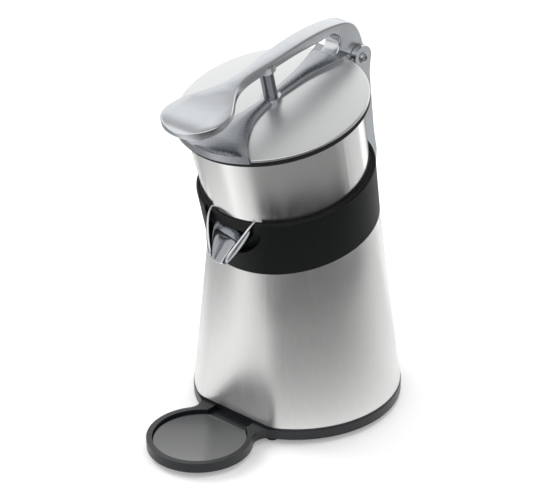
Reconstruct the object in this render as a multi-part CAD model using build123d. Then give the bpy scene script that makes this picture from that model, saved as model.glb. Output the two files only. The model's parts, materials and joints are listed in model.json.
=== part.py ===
from build123d import *
import math
import os

# Lever citrus juicer with a direct-drive motor. Millimetres, +Z up, front towards -Y.
# The head (collar, bowl, lid, lever, motor) leans forward. Its sizes are given along the leaning
# axis, as heights above the plane where the body ends and the collar begins.

# Body on the table
FOOT_H = 5.0
FOOT_R = 6.8
FOOT_INSET = 10.0
FOOT_ANGLES = (26.0, 96.0, 166.0)
FOOT_SCREW_R = 2.0
FOOT_HEAD_R = 3.8
FOOT_HEAD_H = 2.0
FOOT_HOLD = 2.2
BASE_H = 11.6
BASE_FLOOR = 4.0
BASE_LIP = 0.6
PLINTH_LIP = 0.2
SPIGOT_H = 5.0
SPIGOT_WALL = 2.5
SPIGOT_GAP = 1.0
TRAY_REACH = 38.0
TRAY_R = 50.0
TRAY_H = 9.5
TRAY_FLOOR = 3.6
TRAY_LEDGE = 5.0
TRAY_RECESS_R = 44.5
TRAY_CHORD = 36.6
TRAY_NECK_HALF = 24.5
TRAY_BLEND_R = 13.0
SHELL_R = 100.0
SHELL_TAPER = 0.116
SHELL_WALL = 1.0
SHELL_FLAT_CUT = 10.8
SHELL_CORNER_R = 30.0

# Lean of the head
TILT = 12.7
PIVOT_Z = 187.0
FLAT_END_Z = 171.0

# Collar and its deck
COLLAR_H = 54.6
COLLAR_R = 84.0
COLLAR_PROUD = 0.6
COLLAR_WALL = 2.6
COLLAR_SEAT_R = 76.0
COLLAR_SPIGOT_R = 75.0
COLLAR_SPIGOT_WALL = 3.0
COLLAR_SPIGOT_H = 8.0
NOTCH_HALF = 33.0
NOTCH_SIDE = 14.6
NOTCH_DEPTH = 35.0
DECK_LOW = 6.0
DECK_TOP = 11.0
DECK_R = 79.5
RIB_R = 64.0
RIB_WALL = 4.0

# Bowl, spout and strainer
BOWL_LOW = 22.0
BOWL_FLOOR_R = 66.0
BOWL_STEP_H = 44.0
BOWL_STEP_R = 75.0
BOWL_LOWER_R = 78.6
BOWL_TOP_R = 81.6
BOWL_WALL = 1.2
BOWL_BEAD_R = 1.6
CHIMNEY_R = 15.7
CHIMNEY_TOP = 49.0
SPOUT_ROOT = (64.0, 24.3, 42.0, 29.0)
SPOUT_NECK = (84.0, 19.4, 42.0, 24.0)
SPOUT_MID = (94.0, 16.5, 35.0, 19.5)
SPOUT_TIP = (102.5, 8.0, 22.0, 16.0)
SPOUT_WALL = 1.2
SPOUT_INSET = 12.0
STRAINER_T = 1.0
STRAINER_EDGE_GAP = 0.4
STRAINER_RIM_H = 7.0
SLOT_W = 2.4
SLOT_RADII = ((30.0, 46.0), (50.0, 68.0))
SLOT_COUNTS = (30, 40)

# Lid, seal and press cup
LID_TOP = 133.0
LID_T = 2.0
LID_R = 89.5
LID_SKIRT_H = 3.0
LID_SKIRT_WALL = 2.2
SEAL_T = 3.5
SEAL_IN_R = 79.0
SEAL_GAP = 0.3
CUP_R = 41.0
CUP_RIM_H = 98.0
CUP_DROP = 11.5
CUP_WALL = 2.5
CUP_BOSS_R = 11.0
ROD_R = 6.5
STUD_R = 4.0
NUT_T = 4.5
NUT_AF = 13.0

# Lever casting, heights above the lid
ARM_HALF = 8.0
ROOT_HALF = 9.2
PADDLE_HALF = 32.5
PADDLE_Y = 92.0
PADDLE_TIP_Y = 119.0
PADDLE_NECK_Y = 44.0
ARM_TOP_H = 45.0
ARM_T = 9.5
ARM_CROWN = 1.5
ARM_FALL = 5.0
ARM_UNDER = 3.0
SHOULDER_Y = 94.0
SHOULDER_H = 31.5
LOOP_R = 11.0
LOOP_Y = 79.0
STRAP_T = 4.5
STRAP_HALF = 6.5
STRAP_REAR_HALF = 20.0
STRAP_FRONT_HALF = 43.0
STRAP_LIP = 2.0
BOSS_R = 9.5
BOSS_H = 2.0
ARM_EDGE_R = 2.0
LID_SCREW_YS = (-68.0, -42.0, 48.0)
LID_SCREW_R = 2.0
LID_HEAD_R = 4.0
LID_HEAD_H = 2.2

# Hinge behind the bowl
PIN_Y = 109.5
PIN_H = 119.5
PIN_R = 4.0
KNUCKLE_R = 12.5
KNUCKLE_HALF = 9.5
EAR_GAP = 0.4
EAR_T = 6.6
EAR_R = 11.5
POST_FRONT_Y = 93.5
POST_REAR_Y = 107.0
POST_HALF = 15.0
POST_FOOT_LOW = 3.0
POST_FOOT_TOP = 34.0
POST_SLOPE = 4.0
POST_KNEE = 6.0
POST_SWELL = 0.5
CLEVIS_ROOM = 2.5
PIN_HEAD_R = 5.5
PIN_HEAD_H = 2.5
PIN_NUT_AF = 13.0
PIN_NUT_T = 5.0
BRACKET_SCREW_X = 8.0
BRACKET_SCREW_H = 15.5
BRACKET_SCREW_R = 2.5
BRACKET_HEAD_R = 4.2
BRACKET_HEAD_H = 4.0
BOSS_BLOCK_Y = 68.0
BOSS_BLOCK_TOP = 20.0
BOSS_BLOCK_HALF = 14.0

# Motor, hung below the deck
MOUNT_L = 18.0
MOUNT_R = 7.0
MOTOR_R = 52.0
MOTOR_CAVITY_R = 40.0
BOLT_CIRCLE_R = 46.0
BOLT_R = 2.5
BOLT_HEAD_R = 4.5
BOLT_HEAD_H = 4.0
BOLT_GRIP = 3.5
BELL_H = 22.0
BELL_PLATE = 6.0
HUB_R = 19.0
BEARING_R = 14.0
BEARING_T = 9.0
STATOR_H = 50.0
STATOR_BORE_R = 27.0
AIR_GAP = 0.5
WINDING_R = 39.0
WINDING_H = 11.0
SHAFT_R = 6.0
FAN_R = 44.0
FAN_H = 14.0
FAN_DISC = 2.0
FAN_HUB_R = 12.0
FAN_GAP = 4.0
FAN_BLADES = 9
FAN_BLADE_T = 2.0
CLIP_T = 1.5
CLIP_R = 9.0
SHAFT_TAIL = 2.5

# Drive to the reamer
SHAFT_HEX_AF = 10.0
SHAFT_HEX_TOP = 34.0
SEAL_R = 14.0
FLANGE_LOW = 15.0
FLANGE_T = 3.0
FLANGE_R = 24.0
BARREL_R = 9.0
SOCKET_TOP = 42.0
DRIVE_LOW = 50.0
DRIVE_TOP = 62.0
DRIVE_AF = 14.0
SPRING_R = 4.4
SPRING_BORE_R = 2.8
REAMER_R = 36.0
REAMER_LOW = 54.0
REAMER_GAP = 6.0
REAMER_WALL = 5.0
REAMER_HUB_R = 12.0
REAMER_ROOF = 66.0
RIB_COUNT = 10
RIB_T = 2.4
RIB_RISE = 2.2

# Start switch under the deck
PRESS_TRAVEL = 2.5
ACTUATOR_X = 20.0
ACTUATOR_R = 2.0
ACTUATOR_COLLAR_R = 3.5
ACTUATOR_COLLAR_T = 2.0
SWITCH_L = 20.0
SWITCH_W = 8.4
SWITCH_H = 8.0
SWITCH_GAP = 0.5
SWITCH_SHELF = 8.0
SWITCH_SCREW_PITCH = 12.0
BRACKET_T = 1.5
SWITCH_SCREW_R = 1.5

# Supply inside the base
ROD_SPOTS = ((62.0, 25.0), (-62.0, 25.0), (0.0, -64.0))
TIE_R = 3.0
TIE_BOSS_R = 7.0
TIE_BOSS_H = 16.0
TIE_END_Z = 172.0
TIE_SOCKET_LOW = 152.0
TIE_NUT_AF = 10.0
TIE_NUT_T = 4.0
GLAND_Z = 36.0
GLAND_R = 9.0
GLAND_BORE_R = 4.0
GLAND_FLANGE_R = 12.0
GLAND_FLANGE_T = 4.0
GLAND_OUT = 10.0
GLAND_IN = 14.0
GLAND_NUT_R = 13.0
GLAND_NUT_T = 5.0
CAP_R = 16.0
CAP_L = 60.0
CAP_Y = 48.0
CLIP_WALL = 1.5
CLIP_W = 16.0
CLIP_TAB = 12.0
BLOCK_SIZE = (36.0, 18.0, 16.0)
BLOCK_AT = (22.0, -26.0)
BLOCK_POLES = 3
BLOCK_POLE_R = 3.0
BLOCK_POLE_H = 8.0

# Fits and cutting margins
FIT = 0.03
RUN = 0.05
SLIP = 0.15
CLEAR = 0.3
PAST = 1.0
FAR = 300.0

# Values worked out from the sizes above
BASE_R = SHELL_R + BASE_LIP
SHELL_FLAT = SHELL_R - SHELL_FLAT_CUT
TRAY_Y = BASE_R + TRAY_REACH
FOOT_CIRCLE_R = SHELL_R - FOOT_INSET
BASE_TOP = FOOT_H + BASE_H
FLOOR_TOP = FOOT_H + BASE_FLOOR
TILT_RAD = math.radians(TILT)
PIVOT_R = SHELL_R - SHELL_TAPER * (PIVOT_Z - BASE_TOP)
LID_LOW = LID_TOP - LID_T
CUP_TOP_H = LID_LOW - CUP_DROP
REAMER_TIP = CUP_TOP_H - NUT_T - REAMER_GAP
BOWL_RIM = LID_LOW - SEAL_T - SEAL_GAP
PIN_DROP = PIN_H - LID_TOP
LOOP_H = STRAP_T + LOOP_R
ROD_TOP = ARM_TOP_H - ARM_T - ARM_CROWN
BELL_TOP = DECK_LOW - MOUNT_L
STATOR_TOP = BELL_TOP - BELL_H
STATOR_LOW = STATOR_TOP - STATOR_H
BELL_LOW = STATOR_LOW - BELL_H
FAN_TOP = BELL_LOW - FAN_GAP
FAN_LOW = FAN_TOP - FAN_H
SHAFT_LOW = FAN_LOW - CLIP_T - SHAFT_TAIL
REAR_REACH = SHELL_R - SHELL_TAPER * (GLAND_Z - BASE_TOP) + GLAND_OUT
SHIFT_Y = (TRAY_Y + TRAY_R - REAR_REACH) / 2.0

HEAD = Plane(
    origin=(0, 0, PIVOT_Z),
    x_dir=(1, 0, 0),
    z_dir=(0, -math.sin(TILT_RAD), math.cos(TILT_RAD)),
)
MIN_Z = (Align.CENTER, Align.CENTER, Align.MIN)


def rod(radius, low, high, x=0.0, y=0.0):
    """Upright round bar between two heights."""
    return Pos(x, y, low) * Cylinder(radius, high - low, align=MIN_Z)


def ring(outer, inner, low, high, x=0.0, y=0.0):
    """Upright tube between two heights."""
    return rod(outer, low, high, x, y) - rod(inner, low - PAST, high + PAST, x, y)


def hexagon(across, low, high, x=0.0, y=0.0):
    """Upright six-sided bar, sized across its flats."""
    outline = RegularPolygon(across / 2, 6, major_radius=False)
    return Pos(x, y, low) * extrude(outline, high - low)


def bar_x(radius, start, end, y, z):
    """Round bar along X."""
    turned_bar = Rot(0, 90, 0) * Cylinder(radius, end - start, align=MIN_Z)
    return Pos(start, y, z) * turned_bar


def bar_y(radius, start, end, x, z):
    """Round bar along +Y."""
    turned_bar = Rot(-90, 0, 0) * Cylinder(radius, end - start, align=MIN_Z)
    return Pos(x, start, z) * turned_bar


def block(x0, x1, y0, y1, z0, z1):
    """Box between two corners."""
    middle = Pos((x0 + x1) / 2, (y0 + y1) / 2, (z0 + z1) / 2)
    return middle * Box(x1 - x0, y1 - y0, z1 - z0)


def turned(*points):
    """Solid turned about Z from an outline of radius and height points."""
    outline = Plane.XZ * make_face(Polyline(*points, close=True))
    return revolve(outline, Axis.Z)


def through_x(side_view, half):
    """Solid with a given side view, reaching the same distance to both sides."""
    return Pos(-half, 0, 0) * extrude(Plane.YZ * side_view, 2 * half)


def in_head(shape):
    """Places a shape modelled along the leaning axis."""
    return HEAD.location * shape


def below_head():
    """Everything under the plane where the body meets the collar."""
    return in_head(block(-FAR, FAR, -FAR, FAR, -FAR, 0))


def save(shape, name):
    """Writes one node, moved so that the part stands centred on its origin."""
    export_step(Pos(0, SHIFT_Y, 0) * shape, "parts/" + name + ".step")


def flat_front_outline(radius, flat, corner):
    """Circle with a flat front and rounded corners, as five joined edges."""
    side = math.sqrt((radius - corner) ** 2 - (flat - corner) ** 2)
    reach = radius / (radius - corner)
    touch = (side * reach, -(flat - corner) * reach)
    bisect = (math.atan2(side, flat - corner)) / 2
    middle = (side + corner * math.sin(bisect), -(flat - corner) - corner * math.cos(bisect))
    wide = math.atan2(touch[0], -touch[1])
    back = (math.pi + wide) / 2
    flank = (radius * math.sin(back), -radius * math.cos(back))
    edges = [
        Line((-side, -flat), (side, -flat)),
        ThreePointArc((side, -flat), middle, touch),
        ThreePointArc(touch, flank, (0, radius)),
        ThreePointArc((0, radius), (-flank[0], flank[1]), (-touch[0], touch[1])),
        ThreePointArc((-touch[0], touch[1]), (-middle[0], middle[1]), (-side, -flat)),
    ]
    return edges, math.atan2(side, flat), wide


def round_outline(radius, first, second):
    """Circle split at the same five corners as the flat-fronted outline."""
    def at(angle):
        return (radius * math.sin(angle), -radius * math.cos(angle))
    stops = [-first, first, second, math.pi, 2 * math.pi - second, 2 * math.pi - first]
    edges = []
    for start, end in zip(stops[:-1], stops[1:]):
        edges.append(ThreePointArc(at(start), at((start + end) / 2), at(end)))
    return edges


def body_form(inset):
    """Tapered body: flat-fronted below, round where it meets the collar."""
    low_r = SHELL_R - inset
    end_r = SHELL_R - SHELL_TAPER * (FLAT_END_Z - BASE_TOP) - inset
    top_z = PIVOT_Z + SHELL_R * math.tan(TILT_RAD)
    top_r = SHELL_R - SHELL_TAPER * (top_z - BASE_TOP) - inset
    low_edges, first, second = flat_front_outline(low_r, SHELL_FLAT - inset, SHELL_CORNER_R - inset)
    low_face = Pos(0, 0, BASE_TOP) * make_face(low_edges)
    end_face = Pos(0, 0, FLAT_END_Z) * make_face(round_outline(end_r, first, second))
    lower = loft([low_face, end_face], ruled=True)
    upper = Pos(0, 0, FLAT_END_Z) * Cone(end_r, top_r, top_z - FLAT_END_Z, align=MIN_Z)
    return lower + upper


def make_body_shell():
    """Brushed sheet-steel casing, open below and cut on the lean above."""
    shell = body_form(0) - body_form(SHELL_WALL)
    shell = shell & below_head()
    return shell - gland_bar(GLAND_R + FIT)


def gland_bar(radius):
    """Straight run of the cable inlet through the rear of the casing."""
    return bar_y(radius, REAR_REACH - GLAND_OUT - GLAND_IN, REAR_REACH, 0, GLAND_Z)


def foot_spots():
    """Places of the feet: three on each side of the base and one under the tray."""
    spots = [(0.0, -TRAY_Y)]
    for angle in FOOT_ANGLES:
        turn = math.radians(angle)
        for side in (1, -1):
            spots.append((side * FOOT_CIRCLE_R * math.sin(turn), -FOOT_CIRCLE_R * math.cos(turn)))
    return spots


def make_base_tray():
    """Black moulding: a round pan under the body and a spoon-shaped drip tray, in one piece."""
    spoon = Circle(BASE_R) + Pos(0, -TRAY_Y) * Circle(TRAY_R)
    spoon = fillet(spoon.vertices(), TRAY_BLEND_R)
    tray_top = FOOT_H + TRAY_H
    moulding = Pos(0, 0, FOOT_H) * extrude(spoon, TRAY_H)
    lip = PLINTH_LIP
    plinth, _, _ = flat_front_outline(SHELL_R + lip, SHELL_FLAT + lip, SHELL_CORNER_R + lip)
    moulding = moulding + Pos(0, 0, tray_top) * extrude(make_face(plinth), BASE_TOP - tray_top)
    chord_y = TRAY_CHORD - TRAY_Y
    recess = rod(TRAY_RECESS_R, FOOT_H + TRAY_FLOOR, FAR, 0, -TRAY_Y)
    moulding = moulding - (recess & block(-FAR, FAR, -FAR, chord_y, 0, FAR))
    neck = TRAY_NECK_HALF
    moulding = moulding - block(-neck, neck, chord_y - PAST, -SHELL_FLAT - lip, FOOT_H + TRAY_LEDGE, FAR)
    gap = SHELL_WALL + SPIGOT_GAP
    outside, _, _ = flat_front_outline(SHELL_R - gap, SHELL_FLAT - gap, SHELL_CORNER_R - gap)
    inset = gap + SPIGOT_WALL
    inside, _, _ = flat_front_outline(SHELL_R - inset, SHELL_FLAT - inset, SHELL_CORNER_R - inset)
    moulding = moulding + Pos(0, 0, BASE_TOP) * extrude(make_face(outside), SPIGOT_H)
    moulding = moulding - Pos(0, 0, FLOOR_TOP) * extrude(make_face(inside), FAR)
    for x, y in ROD_SPOTS:
        moulding = moulding + rod(TIE_BOSS_R, FOOT_H, FOOT_H + TIE_BOSS_H, x, y)
    for x, y in ROD_SPOTS:
        moulding = moulding - rod(TIE_R + FIT, 0, FAR, x, y)
        moulding = moulding - hexagon(TIE_NUT_AF + CLEAR, FOOT_H - PAST, FOOT_H + TIE_NUT_T, x, y)
    for x, y in foot_spots():
        moulding = moulding - rod(FOOT_SCREW_R + FIT, FOOT_H - PAST, FOOT_H + FOOT_HOLD + CLEAR, x, y)
    return moulding


def make_rubber_feet():
    """Low rubber feet, each with a pocket for its screw head."""
    feet = []
    for x, y in foot_spots():
        foot = ring(FOOT_R, FOOT_SCREW_R + FIT, 0, FOOT_H, x, y)
        feet.append(foot - rod(FOOT_HEAD_R + CLEAR, -PAST, FOOT_HEAD_H + CLEAR, x, y))
    return Compound(feet)


def make_foot_screws():
    """Screws that hold the feet, driven from below."""
    screws = []
    seat = FOOT_HEAD_H + CLEAR
    for x, y in foot_spots():
        head = rod(FOOT_HEAD_R, seat - FOOT_HEAD_H, seat, x, y)
        screws.append(head + rod(FOOT_SCREW_R, seat, FOOT_H + FOOT_HOLD, x, y))
    return Compound(screws)


def make_tie_rods():
    """Threaded rods that clamp the casing between the base and the collar."""
    rods = []
    for x, y in ROD_SPOTS:
        rods.append(rod(TIE_R, FOOT_H, TIE_END_Z, x, y))
    return Compound(rods)


def make_tie_nuts():
    """Nuts in pockets under the base."""
    nuts = []
    for x, y in ROD_SPOTS:
        nut = hexagon(TIE_NUT_AF, FOOT_H, FOOT_H + TIE_NUT_T, x, y)
        nuts.append(nut - rod(TIE_R + FIT, 0, FAR, x, y))
    return Compound(nuts)


def make_cable_gland():
    """Cable inlet: a flanged sleeve through the rear of the casing."""
    wall_y = REAR_REACH - GLAND_OUT
    sleeve = gland_bar(GLAND_R)
    flange = bar_y(GLAND_FLANGE_R, wall_y - GLAND_FLANGE_T, wall_y + GLAND_FLANGE_T, 0, GLAND_Z)
    return sleeve + (flange - body_form(0)) - gland_bar(GLAND_BORE_R)


def make_gland_nut():
    """Nut that draws the gland against the inside of the casing."""
    wall_y = REAR_REACH - GLAND_OUT
    nut = bar_y(GLAND_NUT_R, wall_y - SHELL_WALL - GLAND_NUT_T, wall_y, 0, GLAND_Z)
    return (nut & body_form(SHELL_WALL)) - gland_bar(GLAND_R + FIT)


def make_run_capacitor():
    """Motor run capacitor, lying on the base."""
    z = FLOOR_TOP + CLIP_WALL + CAP_R
    return bar_x(CAP_R, -CAP_L / 2, CAP_L / 2, CAP_Y, z)


def make_capacitor_clip():
    """Spring-steel saddle that holds the capacitor down."""
    z = FLOOR_TOP + CLIP_WALL + CAP_R
    half = CLIP_W / 2
    outer = CAP_R + CLIP_WALL
    band = bar_x(outer, -half, half, CAP_Y, z)
    band = band + block(-half, half, CAP_Y - outer, CAP_Y + outer, FLOOR_TOP, z)
    tabs = block(-half, half, CAP_Y - outer - CLIP_TAB, CAP_Y + outer + CLIP_TAB, FLOOR_TOP, FLOOR_TOP + CLIP_WALL)
    return band + tabs - bar_x(CAP_R + FIT, -CAP_L, CAP_L, CAP_Y, z)


def make_terminal_block():
    """Screw terminal block for the supply."""
    length, width, height = BLOCK_SIZE
    x, y = BLOCK_AT
    body = block(x - length / 2, x + length / 2, y - width / 2, y + width / 2, FLOOR_TOP, FLOOR_TOP + height)
    pitch = length / BLOCK_POLES
    top = FLOOR_TOP + height
    for pole in range(BLOCK_POLES):
        pole_x = x + (pole - (BLOCK_POLES - 1) / 2) * pitch
        body = body - rod(BLOCK_POLE_R, top - BLOCK_POLE_H, top + PAST, pole_x, y)
    return body


def collar_form():
    """Outer form of the collar: from the slanted end of the body to a round rim."""
    spread = math.cos(TILT_RAD) ** 2 - (SHELL_TAPER * math.sin(TILT_RAD)) ** 2
    centre = -PIVOT_R * SHELL_TAPER * math.sin(TILT_RAD) / spread
    long_r = math.sqrt(PIVOT_R ** 2 / spread + centre ** 2) + COLLAR_PROUD
    short_r = math.sqrt(PIVOT_R ** 2 + spread * centre ** 2) + COLLAR_PROUD
    foot = Pos(0, centre, 0) * Ellipse(short_r, long_r)
    rim = Pos(0, 0, COLLAR_H) * Circle(COLLAR_R)
    return loft([foot, rim])


def notch_cut():
    """Round-bottomed cut in the front of the collar, for the spout."""
    low = COLLAR_H - NOTCH_SIDE
    top = COLLAR_H + PAST
    outline = Polyline((-NOTCH_HALF, low), (-NOTCH_HALF, top), (NOTCH_HALF, top), (NOTCH_HALF, low))
    arch = ThreePointArc((NOTCH_HALF, low), (0, COLLAR_H - NOTCH_DEPTH), (-NOTCH_HALF, low))
    face = Plane.XZ * make_face(outline.edges() + arch.edges())
    cut = extrude(face, FAR)
    return Pos(0, -COLLAR_SEAT_R + SPOUT_INSET, 0) * cut


def bolt_spots():
    """Places of the motor bolts round the leaning axis."""
    spots = []
    for index in range(4):
        turn = math.radians(45 + 90 * index)
        spots.append((BOLT_CIRCLE_R * math.cos(turn), BOLT_CIRCLE_R * math.sin(turn)))
    return spots


def make_collar():
    """Black collar moulding: outer wall, deck for the motor, seat ring for the bowl."""
    wall_low = PIVOT_R - COLLAR_WALL
    cavity = Pos(0, 0, DECK_TOP) * Cone(
        wall_low, COLLAR_R - COLLAR_WALL, COLLAR_H - DECK_TOP + PAST, align=MIN_Z
    )
    collar = collar_form() - cavity
    collar = collar - rod(COLLAR_SEAT_R, -PAST, DECK_LOW)
    collar = collar - notch_cut()
    collar = collar + ring(COLLAR_SPIGOT_R, COLLAR_SPIGOT_R - COLLAR_SPIGOT_WALL, -COLLAR_SPIGOT_H, DECK_LOW)
    collar = collar + ring(RIB_R, RIB_R - RIB_WALL, DECK_TOP, BOWL_LOW)
    boss = block(-BOSS_BLOCK_HALF, BOSS_BLOCK_HALF, BOSS_BLOCK_Y, wall_low, DECK_TOP, BOSS_BLOCK_TOP)
    collar = collar + boss
    collar = collar - rod(SEAL_R, DECK_LOW - PAST, DECK_TOP + PAST)
    collar = collar - rod(ACTUATOR_R + RUN, DECK_LOW - PAST, DECK_TOP + PAST, ACTUATOR_X, 0)
    for x, y in bolt_spots():
        collar = collar - rod(BOLT_R + FIT, DECK_LOW - PAST, DECK_LOW + BOLT_GRIP, x, y)
    for x in switch_screw_spots():
        collar = collar - rod(SWITCH_SCREW_R + FIT, DECK_LOW - PAST, DECK_LOW + BOLT_GRIP, x[0], x[1])
    for side in (1, -1):
        hole = bar_y(BRACKET_SCREW_R + FIT, BOSS_BLOCK_Y + PAST, FAR, side * BRACKET_SCREW_X, BRACKET_SCREW_H)
        collar = collar - hole
    collar = in_head(collar)
    under_deck = in_head(block(-FAR, FAR, -FAR, FAR, -FAR, DECK_LOW + PAST))
    for x, y in ROD_SPOTS:
        collar = collar + (rod(TIE_BOSS_R, TIE_SOCKET_LOW, FAR, x, y) & under_deck)
    for x, y in ROD_SPOTS:
        collar = collar - rod(TIE_R + FIT, 0, TIE_END_Z + CLEAR, x, y)
    return collar


def bowl_outer():
    """Filled outer form of the bowl, without its bead."""
    return turned(
        (0, BOWL_LOW),
        (BOWL_FLOOR_R, BOWL_LOW),
        (BOWL_STEP_R, BOWL_LOW + BOWL_STEP_R - BOWL_FLOOR_R),
        (BOWL_STEP_R, BOWL_STEP_H),
        (BOWL_LOWER_R, BOWL_STEP_H),
        (BOWL_LOWER_R, COLLAR_H),
        (BOWL_TOP_R, BOWL_RIM),
        (0, BOWL_RIM),
    )


def make_bowl():
    """Polished steel bowl with a rolled rim, a ledge for the strainer and a chimney for the drive."""
    wall = BOWL_WALL
    hollow = turned(
        (0, BOWL_LOW + wall),
        (BOWL_FLOOR_R - wall / 2, BOWL_LOW + wall),
        (BOWL_STEP_R - wall, BOWL_LOW + BOWL_STEP_R - BOWL_FLOOR_R + wall / 2),
        (BOWL_STEP_R - wall, BOWL_STEP_H + wall),
        (BOWL_LOWER_R - wall, BOWL_STEP_H + wall),
        (BOWL_LOWER_R - wall, COLLAR_H),
        (BOWL_TOP_R - wall, BOWL_RIM + PAST),
        (0, BOWL_RIM + PAST),
    )
    bowl = bowl_outer() - hollow
    bead = Pos(0, 0, BOWL_RIM - BOWL_BEAD_R) * Torus(BOWL_TOP_R + BOWL_BEAD_R / 2, BOWL_BEAD_R)
    bowl = bowl + bead
    bowl = bowl + rod(CHIMNEY_R, BOWL_LOW, CHIMNEY_TOP)
    bowl = bowl - rod(CHIMNEY_R - wall, BOWL_LOW - PAST, CHIMNEY_TOP + PAST)
    return in_head(bowl - spout_channel())


def spout_section(station, inset):
    """One cross-section of the spout: a round trough closed along its rim."""
    y, half, rim, low = station
    half = half - inset
    low = low + inset
    trough = ThreePointArc((-half, rim), (0, low), (half, rim))
    face = make_face(trough.edges() + Line((half, rim), (-half, rim)).edges())
    return Pos(0, -y, 0) * (Plane.XZ * face)


def spout_form(inset):
    """Filled trough from inside the bowl wall to the lip."""
    first = (SPOUT_ROOT[0] - SPOUT_INSET, *SPOUT_ROOT[1:])
    stations = (first, SPOUT_ROOT, SPOUT_NECK, SPOUT_MID, SPOUT_TIP)
    return loft([spout_section(station, inset) for station in stations], ruled=True)


def spout_channel():
    """Juice way of the spout, which also opens the bowl wall."""
    return spout_form(SPOUT_WALL)


def make_spout():
    """Polished steel spout, seated on the bowl wall and passing through the collar's notch."""
    open_top = Pos(0, 0, FIT) * spout_channel()
    spout = spout_form(0) - spout_channel() - open_top
    return in_head(spout - bowl_outer())


def make_strainer():
    """Steel strainer with rings of radial slots, resting on the bowl's ledge."""
    low = BOWL_STEP_H + BOWL_WALL
    edge = BOWL_LOWER_R - BOWL_WALL - STRAINER_EDGE_GAP
    plate = ring(edge, CHIMNEY_R + STRAINER_EDGE_GAP, low, low + STRAINER_T)
    plate = plate + ring(edge, edge - STRAINER_T, low, low + STRAINER_RIM_H)
    slots = []
    for (inner, outer), count in zip(SLOT_RADII, SLOT_COUNTS):
        for index in range(count):
            slot = block(inner, outer, -SLOT_W / 2, SLOT_W / 2, low - PAST, low + STRAINER_T + PAST)
            slots.append(Rot(0, 0, 360.0 * index / count) * slot)
    return in_head(plate - slots)


def make_lid():
    """Round aluminium lid with a short turned-down skirt."""
    lid = rod(LID_R, LID_TOP - LID_SKIRT_H, LID_TOP)
    lid = lid - rod(LID_R - LID_SKIRT_WALL, LID_TOP - LID_SKIRT_H - PAST, LID_LOW)
    lid = lid - rod(STUD_R + FIT, 0, FAR)
    for y in LID_SCREW_YS:
        lid = lid - rod(LID_SCREW_R + FIT, 0, FAR, 0, y)
    return in_head(lid)


def make_lid_seal():
    """Black ring under the lid that meets the bowl's rim."""
    return in_head(ring(LID_R - LID_SKIRT_WALL - CLEAR, SEAL_IN_R, LID_LOW - SEAL_T, LID_LOW))


def make_lid_screws():
    """Screws from under the lid into the lever's strap."""
    screws = []
    for y in LID_SCREW_YS:
        head = rod(LID_HEAD_R, LID_LOW - LID_HEAD_H, LID_LOW, 0, y)
        screws.append(in_head(head + rod(LID_SCREW_R, LID_LOW, LID_TOP + STRAP_T - PAST, 0, y)))
    return Compound(screws)


def make_press_rod():
    """Polished rod between the lever's two arms, with threaded ends."""
    low = LID_TOP + STRAP_T + BOSS_H
    top = LID_TOP + ROD_TOP
    rod_body = rod(ROD_R, low, top)
    rod_body = rod_body + rod(STUD_R, CUP_TOP_H - NUT_T, low)
    return in_head(rod_body + rod(STUD_R, top, top + STUD_R))


def cup_form(inset, top):
    """Filled dome of the press cup."""
    wide = CUP_R + inset
    shoulder = (wide * math.cos(math.pi / 4), CUP_RIM_H + (top - CUP_RIM_H) * math.sin(math.pi / 4))
    dome = ThreePointArc((wide, CUP_RIM_H), shoulder, (CUP_BOSS_R + inset, top))
    lines = Polyline((CUP_BOSS_R + inset, top), (0, top), (0, CUP_RIM_H), (wide, CUP_RIM_H))
    outline = Plane.XZ * make_face(dome.edges() + lines.edges())
    return revolve(outline, Axis.Z)


def make_press_cup():
    """Domed cup under the lid that holds the half fruit."""
    cup = cup_form(CUP_WALL, CUP_TOP_H + CUP_WALL) - cup_form(0, CUP_TOP_H)
    cup = cup + rod(CUP_BOSS_R, CUP_TOP_H, LID_LOW)
    return in_head(cup - rod(STUD_R + FIT, 0, FAR))


def make_rod_nut():
    """Nut on the press rod's lower end, inside the cup."""
    nut = hexagon(NUT_AF, CUP_TOP_H - NUT_T, CUP_TOP_H)
    return in_head(nut - rod(STUD_R + FIT, 0, FAR))


def arm_profile():
    """Side view of the upper arm, the rear shoulder and the hinge root."""
    tip = (-PADDLE_TIP_Y, ARM_TOP_H - ARM_T)
    nose = (-PADDLE_TIP_Y, ARM_TOP_H - ARM_T / 2)
    heel = (PIN_Y + KNUCKLE_R * 0.9, PIN_DROP)
    top_line = Spline(
        nose,
        (-PADDLE_Y, ARM_TOP_H),
        (-PADDLE_NECK_Y, ARM_TOP_H + ARM_CROWN),
        (0, ARM_TOP_H),
        (SHOULDER_Y * 0.62, ARM_TOP_H - ARM_FALL),
        (SHOULDER_Y, SHOULDER_H),
        heel,
        tangents=((0.5, 1.0), (0, -1.0)),
    )
    root = Polyline(
        heel,
        (PIN_Y - KNUCKLE_R * 0.8, PIN_DROP - KNUCKLE_R * 0.3),
        (LID_R + STRAP_LIP, 0),
        (LOOP_Y, 0),
        (LOOP_Y, STRAP_T),
    )
    loop_end = ThreePointArc((LOOP_Y, STRAP_T), (LOOP_Y + LOOP_R, LOOP_H), (LOOP_Y, LOOP_H + LOOP_R))
    under = Spline(
        (LOOP_Y, LOOP_H + LOOP_R),
        (LOOP_Y / 2, ARM_TOP_H - ARM_T - ARM_UNDER),
        (0, ARM_TOP_H - ARM_T),
        (-PADDLE_NECK_Y, ARM_TOP_H - ARM_T + ARM_CROWN),
        tip,
        tangents=((-1.0, 0.05), (-1.0, -0.1)),
    )
    nose_line = Line(tip, nose)
    edges = top_line.edges() + root.edges() + loop_end.edges() + under.edges() + nose_line.edges()
    return make_face(edges)


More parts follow.
